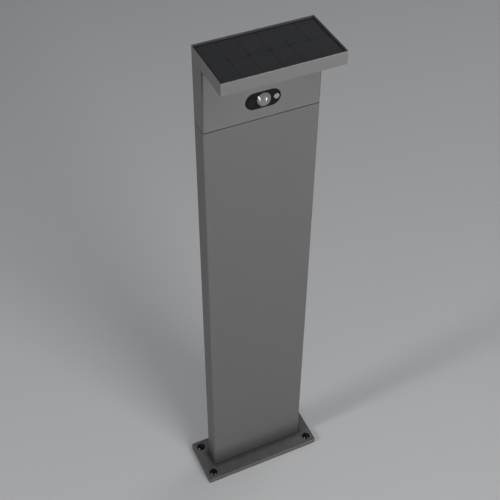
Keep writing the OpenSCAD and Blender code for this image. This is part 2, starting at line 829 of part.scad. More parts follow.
module battery_contacts() color("#c9cacc")
  for (x = [-contact_x - contact_t, -contact_t / 2, contact_x])
    translate([x, battery_y - contact_l / 2, battery_z - contact_l / 2])
      cube([contact_t, contact_l, contact_l]);

module holder_screws() color("#9a9c9e") at_sides(holder_screw_x) difference() {
  union() {
    y_rod(0, holder_screw_z, chassis_front - holder_wall - 1.5, chassis_front - holder_wall, 4.5);
    y_rod(0, holder_screw_z, chassis_front - holder_wall - 0.5, chassis_back, board_screw_d);
  }
  translate([0, chassis_front - holder_wall - 0.5, holder_screw_z]) rotate([90, 0, 0])
    cylinder(h = 4, d = 2.2, $fn = 6);
}

// ---------- leads ----------

// a smooth curve through the points, straight where it starts and ends
function along(p0, p1, p2, p3, t) =
  0.5 * ((2 * p1) + (p2 - p0) * t + (2 * p0 - 5 * p1 + 4 * p2 - p3) * t * t
         + (3 * p1 - p0 - 3 * p2 + p3) * t * t * t);

function smooth(points, steps) =
  let (n = len(points))
  [for (i = [0 : n - 2], k = [0 : steps - 1])
     along(i == 0 ? 2 * points[0] - points[1] : points[i - 1], points[i], points[i + 1],
           i == n - 2 ? 2 * points[n - 1] - points[n - 2] : points[i + 2], k / steps),
   points[n - 1]];

function unit(v) = v / norm(v);

// the direction of a path at each of its points, square to the first and last stretch at its ends
function headings(path, points) =
  let (n = len(points), last = len(path) - 1)
  [for (i = [0 : last])
     i == 0 ? unit(points[1] - points[0])
     : i == last ? unit(points[n - 1] - points[n - 2])
     : unit(path[i + 1] - path[i - 1])];

// a side direction at each point, carried along the path without twist
function carried(ahead, side, i = 0) =
  let (u = unit(side - (side * ahead[i]) * ahead[i]))
  i == len(ahead) - 1 ? [u] : concat([u], carried(ahead, u, i + 1));

function tube_rings(path, ahead, r, sides) =
  let (across = carried(ahead, cross(ahead[0], [0.3, 0.4, 0.5])))
  [for (i = [0 : len(path) - 1])
     let (u = across[i], v = cross(ahead[i], u))
     for (k = [0 : sides - 1])
       path[i] + r * (cos(360 * k / sides) * u + sin(360 * k / sides) * v)];

module lead(points, steps = 4, sides = 8) {
  path = smooth(points, steps);
  ahead = headings(path, points);
  rings = len(path);
  sides_of = [for (i = [0 : rings - 2], k = [0 : sides - 1])
    [i * sides + k, i * sides + (k + 1) % sides,
     (i + 1) * sides + (k + 1) % sides, (i + 1) * sides + k]];
  ends = [[for (k = [sides - 1 : -1 : 0]) k],
          [for (k = [0 : sides - 1]) (rings - 1) * sides + k]];
  polyhedron(points = tube_rings(path, ahead, lead_d / 2, sides), faces = concat(sides_of, ends));
}

// the last stretch of a lead, from its lane down into one way of a socket;
// lift carries the lead to the far way over the one to the near way
function into_socket(side, x, y, lift) = [
  [side * lane_x, y, battery_z - 14],
  [side * (lane_x - 6), (y + socket_y) / 2, socket_top + 7 + lift],
  [side * (x + 8), socket_y, socket_top + 5 + lift],
  [side * (x + 1), socket_y, socket_top + 4 + lift],
  [side * x, socket_y, socket_top + 2 + lift],
  [side * x, socket_y, socket_top]
];

// the two ways of a side socket, the far one first
function way_x(i) = socket_x - wire_pitch / 2 + wire_pitch * i;
function way_lift(i) = i == 0 ? 2 : 0;

module solar_leads() {
  color("#8e1f1f") lead(solar_route(0));
  color("#1c1c1d") lead(solar_route(1));
}

function solar_route(i) =
  let (y = front + 7.5 + 3 * i, x = lane_x - 7)
  concat([[-x, y, backsheet_z], [-x, y, backsheet_z - 2.5], [-(lane_x - 2), y, backsheet_z - 7],
          [-lane_x, y, roof_bottom - 4], [-lane_x, y, battery_z]],
         into_socket(-1, way_x(i), y, way_lift(i)));

module led_leads() {
  color("#8e1f1f") lead(led_route(0));
  color("#1c1c1d") lead(led_route(1));
}

// a lead starts lying on the light board, in the spreader's slot
function led_route(i) =
  let (y = front + 10.5 - 3 * i, x = led_board_x - slot_l / 2 - 1.2 + 2.4 * i)
  concat([[x, roof_mid_y - 3, spreader_z + lead_d / 2 + 0.05],
          [x, roof_mid_y - 1, spreader_z + lead_d / 2 + 0.3],
          [x, roof_mid_y + 3, lead_run_z - 0.1], [x + 3, roof_mid_y + 14, lead_run_z],
          [lane_x - 7 + 2.4 * i, front, lead_run_z - 1], [lane_x - 1, y - 1.5, roof_bottom + 3],
          [lane_x, y, roof_bottom - 6], [lane_x, y, battery_z]],
         into_socket(1, way_x(i), y, way_lift(i)));

module battery_leads() {
  color("#8e1f1f") lead(battery_route(1));
  color("#1c1c1d") lead(battery_route(-1));
}

function battery_route(side) = [
  [side * (contact_x + contact_t), battery_lead_y, battery_lead_z],
  [side * (holder_x + 0.6), battery_lead_y, battery_lead_z],
  [side * (holder_x + 2.2), battery_lead_y, battery_lead_z - 3],
  [side * (holder_x - 1), battery_lead_y, battery_z - 16],
  [side * 50, battery_lead_y, socket_top + 9],
  [side * 12, socket_y + 2, socket_top + 8],
  [side * (wire_pitch / 2 + 2), socket_y, socket_top + 5.5],
  [side * wire_pitch / 2, socket_y, socket_top + 3],
  [side * wire_pitch / 2, socket_y, socket_top]
];

base_plate();
anchor_caps();
foot_screws();
foot_gasket();
column();
neck_adapter();
column_joint_screws();
head_joint_screws();
head_housing();
panel_glass();
solar_cells();
panel_backsheet();
panel_seal();
heat_spreader();
spreader_screws();
led_board();
led_chips();
reflector();
diffuser();
diffuser_seal();
sensor_bezel();
bezel_seal();
pir_lens();
pir_spacer();
pir_sensor();
light_eye();
photocell();
mode_button();
button_ring();
tact_switch();
switch_plunger();
control_board();
board_screws();
board_parts();
lead_sockets();
battery_cells();
battery_holder();
battery_contacts();
holder_screws();
solar_leads();
led_leads();
battery_leads();
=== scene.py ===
import json
import math

import bmesh
import bpy
from mathutils import Matrix, Vector


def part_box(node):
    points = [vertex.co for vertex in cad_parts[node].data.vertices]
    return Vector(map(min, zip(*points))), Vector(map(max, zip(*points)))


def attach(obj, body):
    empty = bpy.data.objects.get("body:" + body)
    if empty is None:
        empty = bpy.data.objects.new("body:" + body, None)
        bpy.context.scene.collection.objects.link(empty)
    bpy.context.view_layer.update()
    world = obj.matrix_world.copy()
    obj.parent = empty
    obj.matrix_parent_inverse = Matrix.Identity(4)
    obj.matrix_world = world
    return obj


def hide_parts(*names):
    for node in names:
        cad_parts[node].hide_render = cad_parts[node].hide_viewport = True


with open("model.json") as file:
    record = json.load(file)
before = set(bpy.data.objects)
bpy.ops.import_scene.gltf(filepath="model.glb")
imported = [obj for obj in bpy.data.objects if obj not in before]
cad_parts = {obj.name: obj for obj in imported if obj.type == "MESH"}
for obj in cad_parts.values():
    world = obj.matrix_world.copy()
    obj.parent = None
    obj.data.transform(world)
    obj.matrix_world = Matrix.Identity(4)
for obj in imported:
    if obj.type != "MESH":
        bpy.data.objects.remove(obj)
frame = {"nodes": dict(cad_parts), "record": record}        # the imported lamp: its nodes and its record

scene = bpy.context.scene
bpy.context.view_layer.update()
mm = 0.001
slotOf = {row["node"]: row["material_slot"] for row in frame["record"]["subparts"]}
print("frame loaded,", len(frame["nodes"]), "nodes")


class Wire:
    # a socket that can stand in a sum: each operation adds its Math node
    def __init__(self, bench, socket):
        self.bench = bench
        self.socket = socket

    def math(self, operation, *values):
        return self.bench.add("ShaderNodeMath", {"operation": operation}, dict(enumerate(values)))

    def __add__(self, other):
        return self.math("ADD", self, other)

    def __sub__(self, other):
        return self.math("SUBTRACT", self, other)

    def __rsub__(self, other):
        return self.math("SUBTRACT", other, self)

    def __mul__(self, other):
        return self.math("MULTIPLY", self, other)

    def __truediv__(self, other):
        return self.math("DIVIDE", self, other)

    def __rtruediv__(self, other):
        return self.math("DIVIDE", other, self)

    def __pow__(self, other):
        return self.math("POWER", self, other)

    def __abs__(self):
        return self.math("ABSOLUTE", self)

    def __mod__(self, other):
        return self.math("FLOORED_MODULO", self, other)

    __radd__ = __add__
    __rmul__ = __mul__

    def least(self, other):
        return self.math("MINIMUM", self, other)

    def most(self, other):
        return self.math("MAXIMUM", self, other)

    def eased(self, low, high):
        # 0 at low, 1 at high, smooth between
        return self.bench.add("ShaderNodeMapRange", {"interpolation_type": "SMOOTHSTEP"},
                              {"Value": self, "From Min": low, "From Max": high})


class Bench:
    # one node tree, and the one way that nodes are put in it
    def __init__(self, tree):
        self.tree = tree

    def add(self, kind, settings=None, values=None, output=0):
        node = self.tree.nodes.new(kind)
        for name, value in (settings or {}).items():
            setattr(node, name, value)
        for key, value in (values or {}).items():
            socket = self.find(node.inputs, key)
            for one in value if isinstance(value, list) else [value]:
                if isinstance(one, Wire):
                    self.tree.links.new(one.socket, socket)
                else:
                    socket.default_value = one
        return Wire(self, self.find(node.outputs, output)) if len(node.outputs) else node

    def find(self, sockets, key):
        if isinstance(key, int):
            return sockets[key]
        named = [socket for socket in sockets if socket.identifier == key]
        return named[0] if named else sockets[key]

    # what the finishes share
    def spot(self):
        return self.add("ShaderNodeTexCoord", output="Object")

    def axes(self):
        split = self.add("ShaderNodeSeparateXYZ", values={0: self.spot()})
        return [Wire(self, socket) for socket in split.socket.node.outputs]

    def stretched(self, *lumps):
        # the spot in lumps of its own length along each axis
        return self.add("ShaderNodeVectorMath", {"operation": "MULTIPLY"},
                        {0: self.spot(), 1: tuple(1 / lump for lump in lumps)})

    def noise(self, size, detail=3, roughness=0.55, vector=None):
        # size is one lump of the noise in metres
        return self.add("ShaderNodeTexNoise", values={
            "Vector": vector or self.spot(), "Scale": 1 / size, "Detail": detail, "Roughness": roughness})

    def blend(self, share, first, second, how="MIX"):
        values = {"Factor_Float": share}
        for key, colour in (("A_Color", first), ("B_Color", second)):
            values[key] = colour if isinstance(colour, Wire) else (*colour, 1)
        return self.add("ShaderNodeMix", {"data_type": "RGBA", "blend_type": how}, values, "Result_Color")

    def shaded(self, colour, amount):
        # colour made lighter or darker by amount, a wire round 1
        grey = self.add("ShaderNodeCombineColor", values={0: amount, 1: amount, 2: amount})
        return self.blend(1.0, colour, grey, "MULTIPLY")

    def bumps(self, height, depth, strength=1.0, under=None):
        values = {"Height": height, "Distance": depth, "Strength": strength}
        if under:
            values["Normal"] = under
        return self.add("ShaderNodeBump", values=values)

    def shader(self, values):
        return self.add("ShaderNodeBsdfPrincipled", values=values)


def finish(name, build):
    material = bpy.data.materials.new(name)
    material.use_nodes = True
    material.node_tree.nodes.clear()
    bench = Bench(material.node_tree)
    bench.add("ShaderNodeOutputMaterial", values={"Surface": build(bench)})
    return material


coat = {
    "tone": (0.128, 0.1235, 0.1245),   # the matt anthracite itself
    "roughness": 0.44,
    "mottle": 0.05,                    # lighter and darker clouds
    "cloudSize": 90 * mm, "patchSize": 14 * mm,
    "grain": 0.07,                     # sandy speckle of the powder
    "grainSize": 0.42 * mm, "grainDepth": 0.05 * mm,
    "peelSize": 2.6 * mm, "peelDepth": 0.10 * mm,
    "wear": 0.16,                      # how much paler the rubbed edges are
    "wearSize": 5 * mm, "edgeReach": 3.2 * mm,
    "dust": 0.10,                      # how much of the dust's tone settles on top faces
    "dustTone": (0.30, 0.285, 0.265), "dustSize": 11 * mm,
    "grime": 0.55,                     # how deep the painted shade goes in the corner by the column and up the column's foot
    "grimeSize": 6 * mm, "grimeReach": 11 * mm, "splashHeight": 58 * mm,
    "plateLift": 0.70,                 # painted shade: the base plate and the column take a darker copy of the paint
    "columnLift": 0.90,
    "pale": 0.16,                      # painted light: how much lighter the roof is painted, and the shares of its lit faces and of the painted highlight on its top edge
    "paleFaces": 0.7, "paleTop": 0.9, "roofDepth": 16.4 * mm,
}


def powderCoat(worn, dusty, shadowy, shadeLevel=1.0, paler=None):
    # each mask takes x, y and z: rubbed edges, settled dust, painted shade in corners and at the column's foot,
    # and painted light on the roof
    def build(bench):
        x, y, z = bench.axes()
        cloud = bench.noise(coat["cloudSize"], 4) * 0.6 + bench.noise(coat["patchSize"], 3) * 0.4
        grain = bench.noise(coat["grainSize"], 2, 0.7)
        peel = bench.noise(coat["peelSize"], 2, 0.4)
        level = 1 - coat["mottle"] - coat["grain"] + (cloud * coat["mottle"] + grain * coat["grain"]) * 2
        # painted light: the roof's faces lighter, with a painted highlight along the roof's top edge
        if paler:
            level = level * (1 + paler(x, y, z) * coat["pale"])
        # painted shade: the last factor darkens the paint of the plate and the column
        colour = bench.shaded(coat["tone"], level * shadeLevel)
        rub = worn(x, y, z) * bench.noise(coat["wearSize"], 4, 0.7).eased(0.36, 0.62)
        colour = bench.shaded(colour, 1 + rub * coat["wear"])
        settled = dusty(x, y, z) * bench.noise(coat["dustSize"], 5, 0.65).eased(0.38, 0.72)
        colour = bench.blend(settled * coat["dust"], colour, coat["dustTone"])
        # painted shade: darker in the corner by the column and towards the column's foot
        shadeAmount = shadowy(x, y, z) * (0.75 + bench.noise(coat["grimeSize"], 4, 0.65) * 0.5)
        colour = bench.shaded(colour, 1 - shadeAmount * coat["grime"])
        rough = coat["roughness"] + cloud * 0.08 + grain * 0.05 + settled * 0.12 - rub * 0.10
        skin = bench.bumps(peel, coat["peelDepth"], 0.35)
        skin = bench.bumps(grain, coat["grainDepth"], 0.45, skin)
        return bench.shader({"Base Color": colour, "Roughness": rough, "Normal": skin,
                             "Specular IOR Level": 0.5, "IOR": 1.48})
    return build


def uprightEdges(low, high):
    # a mask along the four upright edges of a box
    middle, half = (low + high) / 2, (high - low) / 2

    def mask(x, y, z):
        inward = (half.x - abs(x - middle.x)) + (half.y - abs(y - middle.y))
        return inward.eased(coat["edgeReach"], 0.4 * mm)
    return mask


def noMask(x, y, z):
    return x * 0


moulded = {
    # tone, lighter and darker by, roughness, texture size, texture depth, shine
    "gloss": ((0.0042, 0.0042, 0.0045), 0.10, 0.13, 0.9 * mm, 0.003 * mm, 0.16),
    "matt": ((0.0130, 0.0128, 0.0130), 0.14, 0.50, 0.35 * mm, 0.03 * mm, 0.3),
    "seal": ((0.017, 0.017, 0.0175), 0.18, 0.78, 0.6 * mm, 0.05 * mm, 0.4),
    "button": ((0.0062, 0.0062, 0.0066), 0.12, 0.60, 0.5 * mm, 0.02 * mm, 0.12),
    "white": ((0.72, 0.72, 0.70), 0.03, 0.28, 1.2 * mm, 0.006 * mm, 0.5),
    "eye": ((0.275, 0.268, 0.255), 0.07, 0.36, 0.5 * mm, 0.01 * mm, 0.4),
}


def mouldedPlastic(kind, dust=0.05):
    tone, spread, roughness, size, depth, shine = moulded[kind]

    def build(bench):
        fine = bench.noise(size, 3, 0.6)
        broad = bench.noise(16 * size, 4, 0.6)
        colour = bench.shaded(tone, 1 - spread + broad * spread + fine * spread)
        film = bench.noise(7 * mm, 5, 0.7).eased(0.50, 0.78)
        colour = bench.blend(film * dust, colour, coat["dustTone"])
        rough = roughness - 0.03 + broad * 0.06 + film * 0.14
        return bench.shader({"Base Color": colour, "Roughness": rough,
                             "Specular IOR Level": shine, "Normal": bench.bumps(fine, depth, 0.8)})
    return build


metals = {
    # tone, roughness, and the length of the rolling or brushing lines along each axis
    "stainless": ((0.50, 0.49, 0.47), 0.34, (0.5 * mm, 0.5 * mm, 0.5 * mm)),
    "aluminium": ((0.78, 0.78, 0.79), 0.36, (30 * mm, 0.3 * mm, 0.3 * mm)),
    "nickel": ((0.62, 0.58, 0.50), 0.24, (0.6 * mm, 0.6 * mm, 4 * mm)),
}


def bareMetal(kind, streak=0.12):
    tone, roughness, along = metals[kind]

    def build(bench):
        lines = bench.noise(1.0, 3, 0.6, bench.stretched(*along))
        stain = bench.noise(9 * mm, 4, 0.6)
        colour = bench.shaded(tone, 1 - streak + lines * streak + stain * streak)
        return bench.shader({"Base Color": colour, "Metallic": 1.0,
                             "Roughness": roughness - 0.05 + lines * 0.12 + stain * 0.08,
                             "Normal": bench.bumps(lines, 0.01 * mm, 0.5)})
    return build


glass = {
    "tint": (0.90, 0.90, 0.90), "roughness": 0.20,
    "straight": 0.030,                 # the mirror's share where it is looked at straight
    "film": 0.006,                     # and what the dust adds to it
    "sheen": (0.66, 0.655, 0.65), "dustySheen": (0.70, 0.69, 0.68),
}


def coverGlass(bench):
    # clear where looked at straight, more of a mirror at a low angle, with a thin film of dust
    fine = bench.noise(0.55 * mm, 2, 0.5)
    film = bench.noise(30 * mm, 5, 0.6).eased(0.30, 0.80)
    low = bench.add("ShaderNodeLayerWeight", values={"Blend": 0.5}, output="Facing") ** 5
    share = low * (1 - glass["straight"]) + glass["straight"] + film * glass["film"]
    clear = bench.add("ShaderNodeBsdfTransparent", values={"Color": (*glass["tint"], 1)})
    sheen = bench.add("ShaderNodeBsdfPrincipled", values={
        "Base Color": bench.blend(film, glass["sheen"], glass["dustySheen"]),
        "Metallic": 1.0,
        "Roughness": glass["roughness"] + film * 0.03 + fine * 0.05,
        "Normal": bench.bumps(fine, 0.012 * mm, 0.4)})
    return bench.add("ShaderNodeMixShader", values={0: share, 1: clear, 2: sheen})


silicon = {
    "tone": (0.0450, 0.0440, 0.0450), "second": (0.0500, 0.0490, 0.0480), "roughness": 0.36,
    "ribbon": (0.060, 0.062, 0.068),
}


def siliconCell(bench):
    cloud = bench.noise(34 * mm, 3, 0.5)
    etch = bench.noise(0.25 * mm, 2, 0.7)
    colour = bench.blend(cloud.eased(0.35, 0.65), silicon["tone"], silicon["second"])
    colour = bench.shaded(colour, 0.88 + etch * 0.24)
    return bench.shader({"Base Color": colour, "Roughness": silicon["roughness"] + etch * 0.12,
                         "Coat Weight": cloud * 0.2 + 0.1, "Normal": bench.bumps(etch, 0.01 * mm, 0.6)})


def tinnedRibbon(bench):
    lines = bench.noise(1.0, 2, 0.6, bench.stretched(4 * mm, 0.08 * mm, 1 * mm))
    return bench.shader({"Base Color": bench.shaded(silicon["ribbon"], 0.8 + lines * 0.4),
                         "Metallic": 0.6, "Roughness": 0.38 + lines * 0.2})


opal = {"tone": (0.70, 0.70, 0.68), "roughness": 0.40}


def opalPlastic(bench):
    frost = bench.noise(0.4 * mm, 3, 0.65)
    cloud = bench.noise(30 * mm, 4, 0.5)
    colour = bench.shaded(opal["tone"], 0.95 + cloud * 0.06 + frost * 0.04)
    return bench.shader({"Base Color": colour, "Roughness": opal["roughness"] + frost * 0.15,
                         "Subsurface Weight": 0.12, "Subsurface Scale": 0.003,
                         "Normal": bench.bumps(frost, 0.01 * mm, 0.6)})


lens = {
    "tone": (0.20, 0.198, 0.195), "deep": (0.115, 0.114, 0.112), "roughness": 0.12,
    "stepPitch": 0.62 * mm,            # of the rings on its inner face
    "shine": 1.0, "coat": 0.5, "coatRoughness": 0.10, "coatIor": 1.8,
}


def lensPlastic(bench):
    # milky polythene with painted shade darkening its middle, and fine rings of the inner steps showing
    x, y, z = bench.axes()
    middle = (lensLow + lensHigh) / 2
    across = ((x - middle.x) ** 2 + (z - middle.z) ** 2) ** 0.5
    steps = (across % lens["stepPitch"]) / lens["stepPitch"]
    milk = bench.noise(2.2 * mm, 3, 0.6)
    # painted shade: darker towards the middle, mixed with the rings and the milk
    depth = across.eased(8.6 * mm, 1.5 * mm) * 0.55 + steps * 0.18 + milk * 0.15
    colour = bench.blend(depth, lens["tone"], lens["deep"])
    return bench.shader({"Base Color": colour, "Roughness": lens["roughness"] + milk * 0.03 + steps * 0.02,
                         "Subsurface Weight": 0.10, "Subsurface Scale": 0.002,
                         "Specular IOR Level": lens["shine"], "Coat Weight": lens["coat"],
                         "Coat Roughness": lens["coatRoughness"], "Coat IOR": lens["coatIor"],
                         "Normal": bench.bumps(steps, 0.01 * mm, 0.35)})


inside = {
    "board": (0.74, 0.74, 0.71), "boardTrack": (0.50, 0.48, 0.40), "trackPitch": 4 * mm,
    "mask": (0.012, 0.075, 0.030), "maskOverCopper": (0.030, 0.150, 0.050), "copperPitch": 5.5 * mm,
    "phosphor": (0.74, 0.58, 0.16),
    "wrap": (0.020, 0.105, 0.145), "wrapBand": (0.70, 0.70, 0.66), "bandPlace": 60 * mm,
    "lead": (0.115, 0.018, 0.014),
}


def whiteBoard(bench):
    x, y, z = bench.axes()
    weave = bench.noise(0.5 * mm, 2, 0.6)
    track = abs(y % inside["trackPitch"] - inside["trackPitch"] / 2).eased(0.7 * mm, 0.55 * mm)
    board = bench.shaded(inside["board"], 0.96 + weave * 0.06)
    colour = bench.blend(track * 0.10, board, inside["boardTrack"])
    return bench.shader({"Base Color": colour, "Roughness": 0.40 + weave * 0.1,
                         "Normal": bench.bumps(weave, 0.01 * mm, 0.5)})


def greenBoard(bench):
    # solder mask over copper tracks that run in steps
    mask = bench.noise(0.5 * mm, 2, 0.6)
    tracks = bench.add("ShaderNodeTexVoronoi", {"distance": "MANHATTAN", "feature": "F1"}, {
        "Vector": bench.spot(), "Scale": 1 / inside["copperPitch"], "Randomness": 0.8}, "Distance")
    copper = (tracks % 0.22).eased(0.10, 0.13)
    colour = bench.blend(copper * 0.55, inside["mask"], inside["maskOverCopper"])
    return bench.shader({"Base Color": bench.shaded(colour, 0.9 + mask * 0.2), "Roughness": 0.32 + mask * 0.1,
                         "Normal": bench.bumps(copper + mask * 0.2, 0.02 * mm, 0.6)})


def phosphor(bench):
    grit = bench.noise(0.12 * mm, 3, 0.7)
    return bench.shader({"Base Color": bench.shaded(inside["phosphor"], 0.86 + grit * 0.28),
                         "Roughness": 0.34 + grit * 0.2, "Normal": bench.bumps(grit, 0.01 * mm, 0.6)})


def shrinkWrap(bench):
    # a film over the cells, with a pale band near each end
    x, y, z = bench.axes()
    wrinkle = bench.noise(1.0, 4, 0.6, bench.stretched(9 * mm, 2.5 * mm, 2.5 * mm))
    band = abs(abs(x) - inside["bandPlace"]).eased(1.6 * mm, 1.2 * mm)
    colour = bench.blend(band, bench.shaded(inside["wrap"], 0.85 + wrinkle * 0.3), inside["wrapBand"])
    return bench.shader({"Base Color": colour, "Roughness": 0.26 + wrinkle * 0.12,
                         "Normal": bench.bumps(wrinkle, 0.06 * mm, 0.5)})


def leadInsulation(bench):
    soft = bench.noise(0.9 * mm, 3, 0.6)
    return bench.shader({"Base Color": bench.shaded(inside["lead"], 0.85 + soft * 0.3),
                         "Roughness": 0.42 + soft * 0.1, "Normal": bench.bumps(soft, 0.02 * mm, 0.5)})


floorLook = {"tone": (0.62, 0.62, 0.62), "roughness": 0.62, "middle": 2.5, "radius": 7.0}


def studioFloor(bench):
    cloud = bench.noise(0.45, 4, 0.5)
    tooth = bench.noise(1.2 * mm, 2, 0.6)
    colour = bench.shaded(floorLook["tone"], 0.99 + cloud * 0.015 + tooth * 0.006)
    return bench.shader({"Base Color": colour, "Roughness": floorLook["roughness"] + tooth * 0.06,
                         "Specular IOR Level": 0.3})


columnLow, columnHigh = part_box("column")
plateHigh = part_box("base_plate")[1]
headLow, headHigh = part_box("head_housing")
lensLow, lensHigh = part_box("pir_lens")


def plateRims(x, y, z):
    gap = (plateHigh.x - abs(x)).least(plateHigh.y - abs(y))
    return gap.eased(1.4 * mm, 0.3 * mm) * z.eased(plateHigh.z - 1.9 * mm, plateHigh.z - 0.3 * mm)


def plateDust(x, y, z):
    return z.eased(plateHigh.z - 0.3 * mm, plateHigh.z)


def headRims(x, y, z):
    # the roof's upper edges, and the upright edges
    side = (headHigh.x - abs(x)).least((y - headLow.y).least(headHigh.y - y))
    roof = side.eased(1.3 * mm, 0.2 * mm) * z.eased(headHigh.z - 1.4 * mm, headHigh.z - 0.4 * mm)
    return roof.most(uprightEdges(headLow, headHigh)(x, y, z))


def roofPaintedLight(x, y, z):
    # painted light on the roof's front and sides, and a painted highlight along their top edge
    under = headHigh.z - coat["roofDepth"]
    faces = y.eased(columnLow.y, columnLow.y - 8 * mm) * z.eased(under - 2 * mm, under)
    top = z.eased(headHigh.z - 1.1 * mm, headHigh.z - 0.4 * mm)
    return faces * coat["paleFaces"] + top * coat["paleTop"]


def plateCornerShade(x, y, z):
    # painted shade in the corner between the plate and the column's foot
    away = (abs(x) - columnHigh.x).most(0) + (abs(y) - columnHigh.y).most(0)
    return away.eased(coat["grimeReach"], 0) * plateDust(x, y, z)


def columnFootShade(x, y, z):
    # painted shade, darkest at the foot of the column and fading up it
    return z.eased(coat["splashHeight"], 9 * mm)


finishes = {
    "anthracite_paint": finish("anthracitePaint", powderCoat(noMask, noMask, noMask)),
    "black_gloss": finish("blackGloss", mouldedPlastic("gloss", 0.004)),
    "black_plastic": finish("blackPlastic", mouldedPlastic("matt")),
    "black_rubber": finish("sealRubber", mouldedPlastic("seal")),
    "button_rubber": finish("buttonRubber", mouldedPlastic("button", 0.02)),
    "stainless": finish("stainlessSteel", bareMetal("stainless")),
    "bare_aluminium": finish("bareAluminium", bareMetal("aluminium")),
    "nickel": finish("nickelPlate", bareMetal("nickel")),
    "panel_glass": finish("coverGlass", coverGlass),
    "solar_cell": finish("siliconCell", siliconCell),
    "opal_plastic": finish("opalPlastic", opalPlastic),
    "white_plastic": finish("whitePlastic", mouldedPlastic("white", 0.0)),
    "white_board": finish("whiteBoard", whiteBoard),
    "led_phosphor": finish("ledPhosphor", phosphor),
    "lens_plastic": finish("lensPlastic", lensPlastic),
    "eye_plastic": finish("eyePlastic", mouldedPlastic("eye", 0.02)),
    "green_board": finish("greenBoard", greenBoard),
    "cell_wrap": finish("cellWrap", shrinkWrap),
    "lead_insulation": finish("leadInsulation", leadInsulation),
}
plateCoat = finish("plateCoat", powderCoat(plateRims, plateDust, plateCornerShade, coat["plateLift"]))
columnCoat = finish("columnCoat", powderCoat(
    uprightEdges(columnLow, columnHigh), noMask, columnFootShade, coat["columnLift"]))
headCoat = finish("headCoat", powderCoat(headRims, noMask, noMask, paler=roofPaintedLight))
ribbonMetal = finish("tinnedRibbon", tinnedRibbon)
print("finishes made,", len(bpy.data.materials))

for node, piece in frame["nodes"].items():
    piece.data.materials.clear()
    piece.data.materials.append(finishes[slotOf[node]])


def newPiece(name, mesh):
    piece = bpy.data.objects.new(name, mesh)
    scene.collection.objects.link(piece)
    return piece


def mergedCopy(name, node):
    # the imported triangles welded, and flat faces made whole again
    work = bmesh.new()
    work.from_mesh(frame["nodes"][node].data)
    bmesh.ops.remove_doubles(work, verts=work.verts, dist=0.002 * mm)
    bmesh.ops.dissolve_limit(work, angle_limit=math.radians(0.4), verts=work.verts, edges=work.edges)
    mesh = bpy.data.meshes.new(name)
    work.to_mesh(mesh)
    work.free()
    return newPiece(name, mesh)


def polish(piece, finishUsed=None, angle=34, edge=0):
    # smooth round curves, crisp at corners; edge is the width of a small bevel
    mesh = piece.data
    if finishUsed:
        mesh.materials.clear()
        mesh.materials.append(finishUsed)
    mesh.polygons.foreach_set("use_smooth", [True] * len(mesh.polygons))
    mesh.set_sharp_from_angle(angle=math.radians(angle))
    if edge:
        bevel = piece.modifiers.new("Edge", "BEVEL")
        bevel.width = edge
        bevel.segments = 3
        bevel.limit_method = "ANGLE"
        bevel.angle_limit = math.radians(50)
        bevel.use_clamp_overlap = True
    even = piece.modifiers.new("Even shading", "WEIGHTED_NORMAL")
    even.keep_sharp = True
    return piece


def install(piece, body, node, *more):
    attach(piece, body)
    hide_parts(node, *more)


def refined(name, node, finishUsed, edge=0, body="lamp"):
    # the CAD node itself, with its edges softened
    install(polish(mergedCopy(name, node), finishUsed, edge=edge), body, node)


def turned(profile, segments=48):
    # a mesh spun round Z from points (radius, height, sides); sides 6 makes a hexagon socket
    rings = []
    work = bmesh.new()
    for point in profile:
        radius, height = point[0], point[1]
        sides = point[2] if len(point) > 2 else 0
        if radius == 0:
            rings.append([work.verts.new((0, 0, height))])
            continue
        ring = []
        for step in range(segments):
            angle = 2 * math.pi * step / segments
            reach = radius
            if sides:
                wedge = math.pi / sides
                reach = radius * math.cos(wedge) / math.cos(angle % (2 * wedge) - wedge)
            ring.append(work.verts.new((reach * math.cos(angle), reach * math.sin(angle), height)))
        rings.append(ring)
    for first, second in zip(rings, rings[1:]):
        for step in range(segments):
            after = (step + 1) % segments
            if len(first) == 1 and len(second) > 1:
                work.faces.new((first[0], second[step], second[after]))
            elif len(second) == 1 and len(first) > 1:
                work.faces.new((first[step], second[0], first[after]))
            elif len(first) > 1:
                work.faces.new((first[step], second[step], second[after], first[after]))
    bmesh.ops.recalc_face_normals(work, faces=work.faces)
    mesh = bpy.data.meshes.new("turned")
    work.to_mesh(mesh)
    work.free()
    return mesh


def threaded(outer, depth, start, end, pitch):
    # profile points of ridges cut into a shank, from start down to end
    points = []
    height = start
    while height - pitch > end:
        points += [(outer, height), (outer - depth, height - pitch * 0.5)]
        height -= pitch
    return points


def newTree(name, inputs):
    # inputs holds each named input's kind and default
    tree = bpy.data.node_groups.new(name, "GeometryNodeTree")
    face = tree.interface
    face.new_socket("Mesh", in_out="INPUT", socket_type="NodeSocketGeometry")
    for label, (kind, value) in inputs.items():
        socket = face.new_socket(label, in_out="INPUT", socket_type="NodeSocket" + kind)
        if value is not None:
            socket.default_value = value
    face.new_socket("Mesh", in_out="OUTPUT", socket_type="NodeSocketGeometry")
    bench = Bench(tree)
    start = tree.nodes.new("NodeGroupInput")
    end = tree.nodes.new("NodeGroupOutput")
    return bench, {socket.name: Wire(bench, socket) for socket in start.outputs if socket.name}, end


def closeTree(bench, end, geometry, finishUsed=None):
    if finishUsed:
        geometry = bench.add("GeometryNodeSetMaterial", values={0: geometry, "Material": finishUsed})
    bench.tree.links.new(geometry.socket, end.inputs[0])


def grow(piece, tree, values):
    # runs a tree on a piece and keeps the result as its plain mesh
    shape = piece.modifiers.new("Shape", "NODES")
    shape.node_group = tree
    for item in tree.interface.items_tree:
        if item.in_out == "INPUT" and item.name in values:
            shape[item.identifier] = values[item.name]
    depsgraph = bpy.context.evaluated_depsgraph_get()
    mesh = bpy.data.meshes.new_from_object(piece.evaluated_get(depsgraph), depsgraph=depsgraph)
    piece.modifiers.remove(shape)
    mesh.name = piece.name
    piece.data = mesh
    return piece


